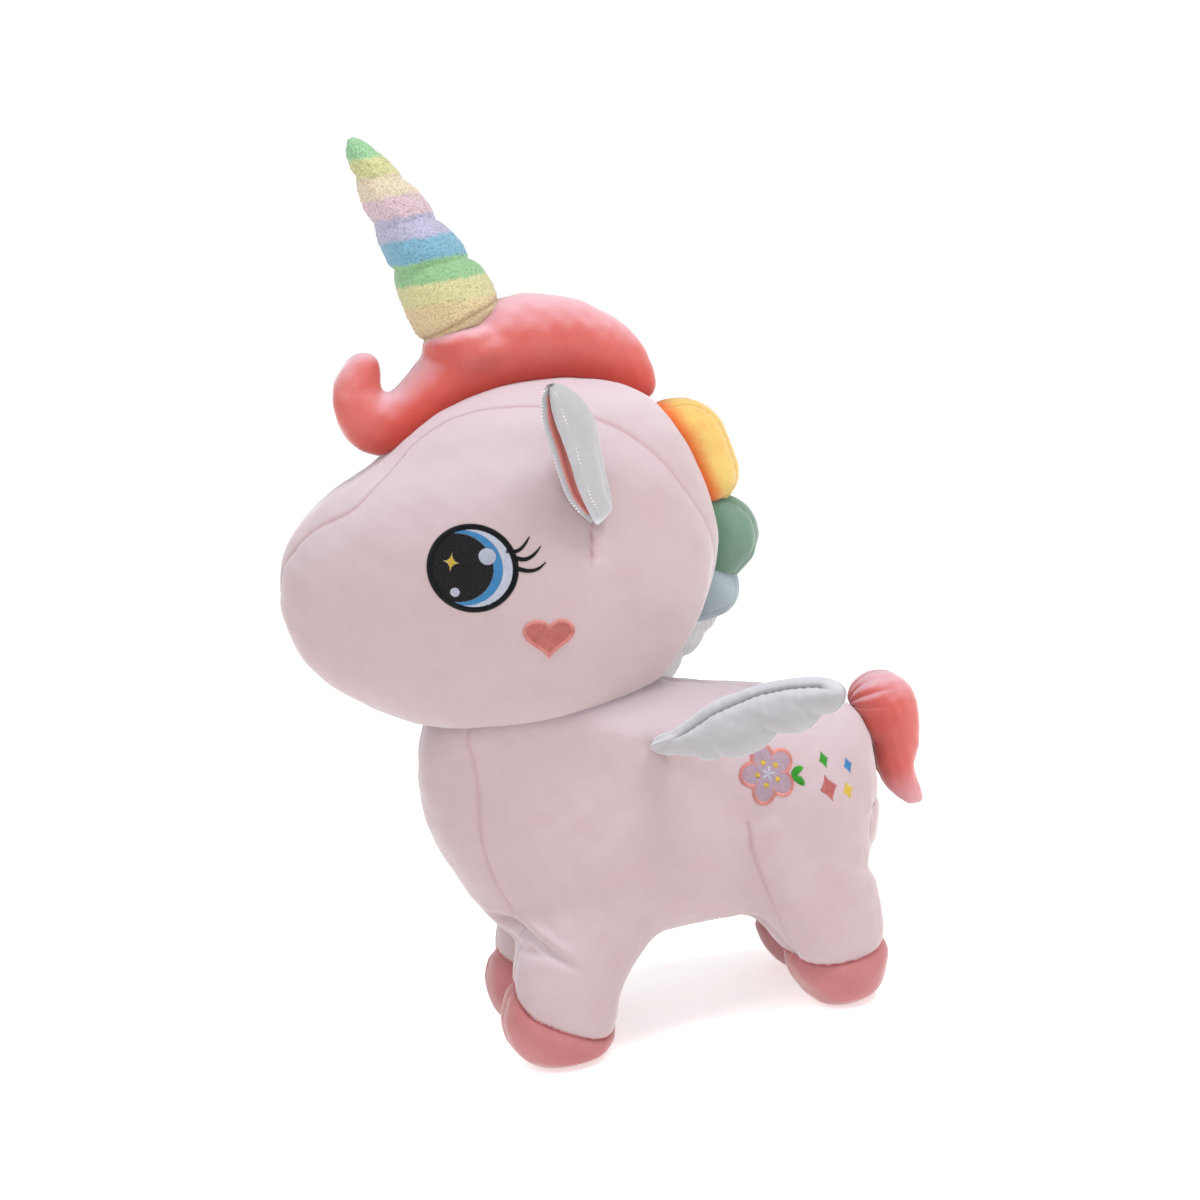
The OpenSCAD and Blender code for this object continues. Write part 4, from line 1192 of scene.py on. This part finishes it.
# ---- tail ----------------------------------------------------------------------
def make_tail():
    co, quads = roll(TAIL_BEADS, 7, 1.7, 8)
    co = puffed(co, quads, bell(co[:, 1], 2.2))
    co, quads = subdivide(co, quads)
    nor = normals_of(co, quads)
    rim = ease(1.25 - np.abs(nor[:, 1]) * 1.2)
    ripple = 1 + 0.3 * np.sin((co[:, 0] + co[:, 2]) * 0.75)
    from_root = np.hypot(co[:, 0] - 153, co[:, 2] - 181)
    around = np.arctan2(co[:, 1], co[:, 2] - 176)
    gather = bell(from_root, 17) * (np.abs(np.sin(around * 5.5)) - 0.5)
    move = 1.9 * gather + 0.4 * lumps(co, 24, 51) + 0.15 * lumps(co, 9, 52)
    move -= rim * (0.9 * ripple * bell(co[:, 1], 1.3) + 0.8 * bell(co[:, 1], 5))
    waist = to_line(co[:, 0], co[:, 2], [(166, 150), (166, 128), (174, 116)])[0]
    move -= 0.8 * bell(waist, 8)
    co = co + nor * move[:, None]
    nor = normals_of(co, quads)
    mark = rim * bell(co[:, 1], 0.85) * 0.8
    # Painted shade, weakly, in the deeper colour towards the body at middle height.
    painted_shade = ease((184 - co[:, 2]) / 40) * ease((co[:, 2] - 96) / 50) * ease((182 - co[:, 0]) / 24)
    left = co[quads].mean(1)[:, 1] < 0
    for label, chosen, nodes in (
        ("tail_left_side", left, ["tail_left_panel", "tail_stuffing"]),
        ("tail_right_side", ~left, ["tail_right_panel"]),
    ):
        c, q, (m, g, k) = picked(co, quads, chosen, mark, painted_shade, nor)
        # Paler on upward faces, as a painted highlight, and paler towards the tail's lower end.
        pale = np.maximum(ease((k[:, 2] - 0.05) / 0.95), 0.75 * ease((134 - c[:, 2]) / 34))
        ob = put(label, c, [q], MANE, None, nodes, "mane_plush",
                 {"seam": m, "painted_shade": g * 0.15, "up": pale}, k)
        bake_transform(ob)


# ---- embroidery ------------------------------------------------------------------
class Patch:
    """The skin seen from the side over a small window, for laying thread on."""

    def __init__(self, tree, centre, reach, step=1.5):
        self.lo = np.array(centre, float) - reach
        self.step = step
        n = int(2 * reach / step) + 2
        self.y = np.zeros((n, n))
        for i in range(n):
            for j in range(n):
                start = (self.lo[0] + i * step, -260, self.lo[1] + j * step)
                hit = tree.ray_cast(start, (0, 1, 0))[0]
                self.y[i, j] = hit.y if hit else -60
        self.n = n

    def height(self, x, z):
        u = np.clip((x - self.lo[0]) / self.step, 0, self.n - 1.001)
        v = np.clip((z - self.lo[1]) / self.step, 0, self.n - 1.001)
        i, j = u.astype(int), v.astype(int)
        f, g = u - i, v - j
        y = self.y
        return ((y[i, j] * (1 - f) + y[i + 1, j] * f) * (1 - g)
                + (y[i, j + 1] * (1 - f) + y[i + 1, j + 1] * f) * g)

    def lay(self, p):
        """Points on the skin and its outward directions, for 2-D points (..., 2)."""
        x, z = p[..., 0], p[..., 1]
        e = 1.5
        y = self.height(x, z)
        dx = (self.height(x + e, z) - self.height(x - e, z)) / (2 * e)
        dz = (self.height(x, z + e) - self.height(x, z - e)) / (2 * e)
        nor = np.stack([dx, -np.ones_like(dx), dz], -1)
        nor /= np.linalg.norm(nor, axis=-1, keepdims=True)
        return np.stack([x, y, z], -1), nor


def sewn(patch, ends, width, height, base=0.1):
    """Thread stitches between pairs of 2-D points, as thin raised strands."""
    ends = np.asarray(ends, float)
    a, b = ends[:, 0], ends[:, 1]
    t = np.array([0, 0.12, 0.5, 0.88, 1.0])
    mid = a[:, None] + (b - a)[:, None] * t[None, :, None]
    p, nor = patch.lay(mid)
    along = p[:, -1] - p[:, 0]
    along /= np.maximum(np.linalg.norm(along, axis=1, keepdims=True), 1e-6)
    side = np.cross(along[:, None], nor)
    up = height * np.array([0.2, 0.85, 1.0, 0.85, 0.2])[None, :, None]
    half = 0.5 * width * np.array([0.5, 0.95, 1, 0.95, 0.5])[None, :, None]
    lift = p + nor * base
    ring = np.stack([lift + side * half, lift + nor * up, lift - side * half,
                     p - nor * 0.25], 2)
    k, m = len(ends), len(t)
    co = ring.reshape(-1, 3)
    start = (np.arange(k) * m * 4)[:, None, None]
    i = np.arange(m - 1)[None, :, None] * 4
    j = np.arange(4)[None, None, :]
    j2 = (j + 1) % 4
    quads = np.stack([start + i + j, start + i + 4 + j, start + i + 4 + j2, start + i + j2], 3)
    s = (np.arange(k) * m * 4)[:, None]
    caps = np.concatenate([s + np.array([0, 1, 2, 3]), s + (m - 1) * 4 + np.array([3, 2, 1, 0])])
    return co, [quads.reshape(-1, 4), caps]


def filled(inside, centre, reach, angle, spacing=0.5, length=4.2):
    """Rows of running stitches that fill a shape, staggered like bricks."""
    d = np.array([math.cos(angle), math.sin(angle)])
    q = np.array([-d[1], d[0]])
    ends = []
    along = np.arange(-reach, reach, 0.2)
    for k, row in enumerate(np.arange(-reach, reach, spacing)):
        pts = np.asarray(centre) + row * q + along[:, None] * d
        ok = inside(pts[:, 0], pts[:, 1])
        change = np.flatnonzero(np.diff(np.concatenate([[0], ok.astype(int), [0]])))
        for lo, hi in zip(change[::2], change[1::2]):
            if hi - lo < 3:
                continue
            first, last = along[lo], along[hi - 1]
            phase = (k * 0.382 % 1) * length
            cuts = np.arange(math.floor((first - phase) / length) * length + phase, last, length)
            cuts = [first] + [c for c in cuts if first + 0.8 < c < last - 0.8] + [last]
            ends += [
                (np.asarray(centre) + row * q + u * d, np.asarray(centre) + row * q + v * d)
                for u, v in zip(cuts[:-1], cuts[1:])
            ]
    return ends


def satin(line, width, spacing=0.42, closed=True):
    """Close stitches across a line, as on an embroidered border."""
    p = np.asarray(line, float)
    if closed:
        p = np.concatenate([p, p[:1]])
    seg = np.linalg.norm(np.diff(p, axis=0), axis=1)
    at = np.concatenate([[0], np.cumsum(seg)])
    u = np.arange(0, at[-1], spacing)
    x = np.stack([np.interp(u, at, p[:, k]) for k in (0, 1)], 1)
    tangent = np.stack([np.gradient(x[:, k]) for k in (0, 1)], 1)
    tangent /= np.maximum(np.linalg.norm(tangent, axis=1, keepdims=True), 1e-9)
    across = np.stack([-tangent[:, 1], tangent[:, 0]], 1)
    w = np.interp(u / at[-1], *width) if isinstance(width, tuple) else np.full(len(u), width)
    return [(c - n * h / 2, c + n * h / 2) for c, n, h in zip(x, across, w)]


def circle_line(centre, r, n=72, start=0.0, sweep=TAU):
    t = start + np.linspace(0, sweep, n, endpoint=sweep < TAU)
    return np.stack([centre[0] + r * np.cos(t), centre[1] + r * np.sin(t)], 1)


def disc(x, z, centre, r):
    return (x - centre[0]) ** 2 + (z - centre[1]) ** 2 <= r * r


def both(name, patches, layers, material, slot, nodes):
    """The same stitching on the left and on the right, each laid on its own side's skin."""
    for side, patch in zip(("left", "right"), patches):
        co, faces = joined([sewn(patch, ends, width, height) for ends, width, height in layers])
        if side == "right":
            co, faces = mirrored(co, faces)
        put(f"{side}_{name}", co, faces, material, "toy", [f"{side}_{n}" for n in nodes], slot)


EYE = np.array([-80.5, 321.2])
EYE_R = 26.0


def make_eye(trees):
    patches = [Patch(tree, EYE, 48) for tree in trees]
    ring, iris = EYE_R, 22.9
    at = lambda u, v: EYE + (u, v)
    blue_c, blue_r = at(-5.0, 1.0), 22.2
    pupil_c, pupil_r = at(-8.6, 1.6), 20.4
    big, big_r = at(9.4, 5.8), 4.9
    small, small_r = at(-12.6, -12.3), 2.7
    star_c = at(-11.5, 5.6)
    lean = math.radians(-18)

    def star(x, z):
        u, v = x - star_c[0], z - star_c[1]
        u, v = u * math.cos(lean) + v * math.sin(lean), v * math.cos(lean) - u * math.sin(lean)
        return (np.abs(u) / 5.2) ** 0.5 + (np.abs(v) / 7.0) ** 0.5 <= 1

    def light(x, z):
        return disc(x, z, big, big_r) | disc(x, z, small, small_r)

    def in_iris(x, z):
        return disc(x, z, EYE, iris)

    def pupil(x, z):
        return disc(x, z, pupil_c, pupil_r) & disc(x, z, EYE, iris + 0.6) & ~light(x, z) & ~star(x, z)

    def blue(x, z):
        return (in_iris(x, z) & disc(x, z, blue_c, blue_r) & ~disc(x, z, pupil_c, pupil_r)
                & ~light(x, z))

    def white(x, z):
        return in_iris(x, z) & ~disc(x, z, blue_c, blue_r) & ~light(x, z)

    lashes = [
        ([at(20.5, 7.0), at(26.5, 6.2), at(31, 8.4), at(35.5, 13.2)], (2.6, 2.2, 1.5, 0.6)),
        ([at(23.0, 3.4), at(30, 0.6), at(36, 2.4), at(41, 6.6)], (3.0, 2.5, 1.7, 0.6)),
        ([at(23.6, -3.4), at(31, -6.4), at(37, -6.2), at(42, -3.4)], (3.0, 2.5, 1.7, 0.6)),
    ]
    black = [(filled(pupil, EYE, 27, 1.45, 0.46, 4.6), 0.56, 0.5)]
    ring_mid = (ring + iris) / 2
    black.append((satin(circle_line(EYE, ring_mid, 120), ring - iris + 0.5, 0.40), 0.52, 0.75))
    for line, widths in lashes:
        smooth = spline(line, np.linspace(0, 3, 26))
        black.append((satin(smooth, ([0, 0.4, 0.75, 1], widths), 0.36, False), 0.5, 0.65))
    both("eye_black_stitching", patches, black, BLACK_THREAD, "black_thread", ["eye_black_thread"])
    both("eye_blue_stitching", patches, [(filled(blue, EYE, 27, 0.25, 0.46, 4.2), 0.56, 0.5)],
         BLUE_THREAD, "blue_thread", ["eye_blue_thread"])
    pale = [(filled(white, EYE, 27, 0.25, 0.46, 4.2), 0.56, 0.5)]
    pale.append((filled(lambda x, z: disc(x, z, big, big_r), EYE, 27, 1.3, 0.44, 9), 0.54, 0.85))
    pale.append((filled(lambda x, z: disc(x, z, small, small_r), EYE, 27, 1.3, 0.44, 9), 0.54, 0.85))
    both("eye_white_stitching", patches, pale, WHITE_THREAD, "white_thread", ["eye_white_thread"])
    both("eye_star_stitching", patches, [(filled(star, EYE, 27, 0.5, 0.42, 6), 0.5, 0.8)],
         YELLOW_THREAD, "yellow_thread", ["eye_star_thread"])


HEART = np.array([-45.5, 274.5])


def make_heart(trees):
    patches = [Patch(tree, HEART, 26) for tree in trees]
    t = np.linspace(0, TAU, 96, endpoint=False)
    scale = 27.0 / 32
    shape = np.stack([16 * np.sin(t) ** 3,
                      13 * np.cos(t) - 5 * np.cos(2 * t) - 2 * np.cos(3 * t) - np.cos(4 * t)], 1)
    shape = shape * scale * (1.08, 0.90)
    lean = math.radians(9)
    shape = shape @ np.array([[math.cos(lean), -math.sin(lean)], [math.sin(lean), math.cos(lean)]])
    outline = HEART + shape + (1.6, -0.6)

    def inside(x, z):
        hit = np.zeros(len(x), bool)
        a, b = outline, np.roll(outline, -1, 0)
        for (x1, z1), (x2, z2) in zip(a, b):
            cross = (z1 > z) != (z2 > z)
            hit ^= cross & (x < (x2 - x1) * (z - z1) / (z2 - z1 + 1e-12) + x1)
        return hit

    both("heart_fill_stitching", patches, [(filled(inside, HEART, 19, 1.48, 0.5, 3.4), 0.6, 0.5)],
         CORAL_THREAD, "coral_thread", ["cheek_heart"])
    both("heart_border_stitching", patches, [(satin(outline, 2.3, 0.42), 0.54, 0.95)],
         BORDER_THREAD, "coral_thread", [])


BLOSSOM = np.array([77.0, 159.0])
PETAL_TURNS = [math.radians(98 + 72 * k) for k in range(5)]


def make_blossom(trees):
    patches = [Patch(tree, BLOSSOM + (14, -4), 46) for tree in trees]
    turns = PETAL_TURNS
    tip = lambda t, r: BLOSSOM + (r * math.cos(t), r * math.sin(t))

    def petals(x, z):
        hit = disc(x, z, BLOSSOM, 6.5)
        for t in turns:
            c = tip(t, 9.6)
            u = (x - c[0]) * math.cos(t) + (z - c[1]) * math.sin(t)
            v = -(x - c[0]) * math.sin(t) + (z - c[1]) * math.cos(t)
            hit |= (u / 8.4) ** 2 + (v / 6.9) ** 2 <= 1
        return hit

    def ring_line():
        """Outer edge of the five petals, found along rays from the middle."""
        line = []
        for t in np.linspace(0, TAU, 260, endpoint=False):
            r = np.arange(4, 24, 0.1)
            ok = petals(BLOSSOM[0] + r * math.cos(t), BLOSSOM[1] + r * math.sin(t))
            line.append(tip(t, r[ok][-1]))
        return np.array(line)

    dots = [tip(t + 0.08, 7.0) for t in turns]

    def lilac(x, z):
        hit = petals(x, z)
        for c in dots:
            hit &= ~disc(x, z, c, 1.5)
        return hit

    both("blossom_fill_stitching", patches, [(filled(lilac, BLOSSOM, 21, 1.4, 0.5, 3.8), 0.6, 0.45)],
         LILAC_THREAD, "lilac_thread", ["blossom_petals"])
    edge = ring_line()
    creases = []
    for t in turns:
        t2 = t + math.radians(36)
        creases.append((satin(np.array([tip(t2, 12.2), tip(t2, 8.6)]), 1.3, 0.42, False), 0.5, 0.8))
    diamond = diamond_fill(BLOSSOM + (37.2, -18.2), 12.0, 16.5)
    both("blossom_border_stitching", patches, [(satin(edge, 2.4, 0.40), 0.52, 1.0), *creases],
         BORDER_THREAD, "coral_thread", [])
    both("flank_coral_stitching", patches, [(diamond, 0.55, 0.55)], CORAL_THREAD, "coral_thread",
         ["flank_coral_thread"])
    spots = [(filled(lambda x, z, c=c: disc(x, z, c, 1.65), c, 3, 1.2, 0.42, 5), 0.5, 1.0)
             for c in dots]
    spots.append((diamond_fill(BLOSSOM + (50.4, -23.6), 8.0, 11.0), 0.55, 0.55))
    both("flank_yellow_stitching", patches, spots, YELLOW_THREAD, "yellow_thread",
         ["flank_yellow_thread"])
    rays = []
    for t in turns:
        t2 = t + math.radians(36)
        rays += [(BLOSSOM, tip(t2 + 0.05, 5.4)), (BLOSSOM, tip(t2 - 0.12, 4.4)),
                 (BLOSSOM, tip(t2 + 0.2, 4.2))]
    both("blossom_star_stitching", patches, [(rays, 0.6, 0.8)], WHITE_THREAD, "white_thread", [])
    leaves = []
    for t, size in ((math.radians(24), 9.5), (math.radians(-42), 9.5)):
        foot = BLOSSOM + (14.6, -6.0)
        axis = np.array([math.cos(t), math.sin(t)])
        u = np.linspace(0, 1, 20)[:, None]
        bend = np.array([-axis[1], axis[0]]) * 1.2 * np.sin(u * math.pi)
        widths = ([0, 0.25, 0.55, 0.85, 1], (1.0, 3.8, 5.0, 3.4, 0.8))
        leaves.append((satin(foot + axis * size * u + bend, widths, 0.42, False), 0.54, 0.8))
    leaves.append((diamond_fill(BLOSSOM + (38.4, -1.4), 6.4, 10.5), 0.55, 0.55))
    both("flank_green_stitching", patches, leaves, GREEN_THREAD, "green_thread",
         ["flank_green_thread"])
    both("flank_blue_stitching", patches, [(diamond_fill(BLOSSOM + (54.5, -9.6), 6.2, 10.0), 0.55, 0.55)],
         BLUE_THREAD, "blue_thread", ["flank_blue_thread"])


def diamond_fill(centre, width, height):
    """Level satin stitches across an upright four-pointed spangle."""
    ends = []
    for v in np.arange(-height / 2 + 0.3, height / 2 - 0.2, 0.42):
        k = abs(v) / (height / 2)
        half = width / 2 * (1 - k) ** 1.5 + 0.15
        lean = 0.10 * v
        ends.append((centre + (-half - lean, v), centre + (half - lean, v)))
    return ends


# ---- sewing stitches ---------------------------------------------------------------
FOOT_STITCH_STEP = 2.6


def seam_points(co, quads, field, chosen, spacing):
    """Points along field = 0 on a skin, in order round the leg, about that far apart."""
    e = edges_of(quads)
    f = field(co)
    a, b = e[:, 0], e[:, 1]
    cross = (f[a] * f[b] <= 0) & (f[a] != f[b]) & chosen(co[a])
    a, b = a[cross], b[cross]
    t = (f[a] / (f[a] - f[b]))[:, None]
    p = co[a] * (1 - t) + co[b] * t
    middle = p.mean(0)
    turn = np.arctan2(p[:, 1] - middle[1], p[:, 0] - middle[0])
    order = np.argsort(turn)
    turn, p = turn[order], p[order]
    grid = np.linspace(-math.pi, math.pi, 400)
    ring = np.stack([np.interp(grid, turn, p[:, k], period=TAU) for k in range(3)], 1)
    ring = (np.roll(ring[:-1], 1, 0) + ring[:-1] + np.roll(ring[:-1], -1, 0)) / 3
    step = np.linalg.norm(np.diff(ring, axis=0, append=ring[:1]), axis=1)
    at = np.concatenate([[0], np.cumsum(step)])
    u = np.linspace(0, at[-1], int(at[-1] / spacing), endpoint=False)
    closed = np.concatenate([ring, ring[:1]])
    return np.stack([np.interp(u, at, closed[:, k]) for k in range(3)], 1)


def make_hoof_stitches(co, quads):
    for name, end, field, top in (
        ("front", -1, front_hoof_field, FRONT_HOOF_TOP),
        ("hind", 1, hind_hoof_field, HIND_HOOF_TOP),
    ):
        chosen = lambda p: (p[:, 0] * end > 0) & (p[:, 2] < top) & (p[:, 1] < 0)
        ring = seam_points(co, quads, field, chosen, FOOT_STITCH_STEP)
        middle = ring.mean(0)
        parts = []
        for p, q in zip(ring, np.roll(ring, -1, 0)):
            out = unit((p - middle) * [1, 1, 0])
            a, b = p + (q - p) * 0.10, p + (q - p) * 0.80
            mid = (a + b) / 2 + out * 0.75
            parts.append(stitch_tube([a - out * 0.3, mid, b - out * 0.3], 0.36, 5))
        skins = joined(parts), mirrored(*joined(parts))
        for label, skin in zip(("left", "right"), skins):
            put(f"{name}_{label}_foot_stitches", *skin, CORAL_STITCH, "toy", [], "coral_thread")


# ---- assembly ------------------------------------------------------------------------
make_camera()
make_studio()
body_skin = make_body()
head_skin = make_head()
head_tree = tree_of(*head_skin)
body_sides = [tree_of(skin * (1, s, 1), quads) for s in (1, -1) for skin, quads in [body_skin]]
head_sides = [tree_of(skin * (1, s, 1), quads) for s in (1, -1) for skin, quads in [head_skin]]
forelock_skin = make_roll(
    "rose_forelock", FORELOCK_BEADS, 1.9, 9, MANE, "mane_plush",
    ["forelock_left_panel", "forelock_right_panel", "forelock_stuffing"],
    [head_tree], 24, seed=61, extra=[ball((-51, 0, 449), (29, 30, 13)),
                                     ball((-46, 0, 441), (30, 31, 16))])
forelock_tree = tree_of(*forelock_skin)
above = [head_tree, forelock_tree]
for colour, beads, material, seed in (
    ("yellow", YELLOW_BEADS, YELLOW, 71),
    ("green", GREEN_BEADS, GREEN, 73),
    ("blue", BLUE_BEADS, BLUE, 75),
):
    lobe = make_roll(
        f"{colour}_mane_lobe", beads, 1.7, 8, material, f"{colour}_plush",
        [f"mane_{colour}_{part}" for part in ("left_panel", "right_panel", "stuffing")],
        above, 11, welts=(12,), seed=seed)
    above = [head_tree, tree_of(*lobe)]
make_horn()
for side in (-1, 1):
    make_ear(side)
    make_wing(side)
make_tail()
make_hoof_stitches(*body_skin)
make_eye(head_sides)
make_heart(head_sides)
make_blossom(body_sides)
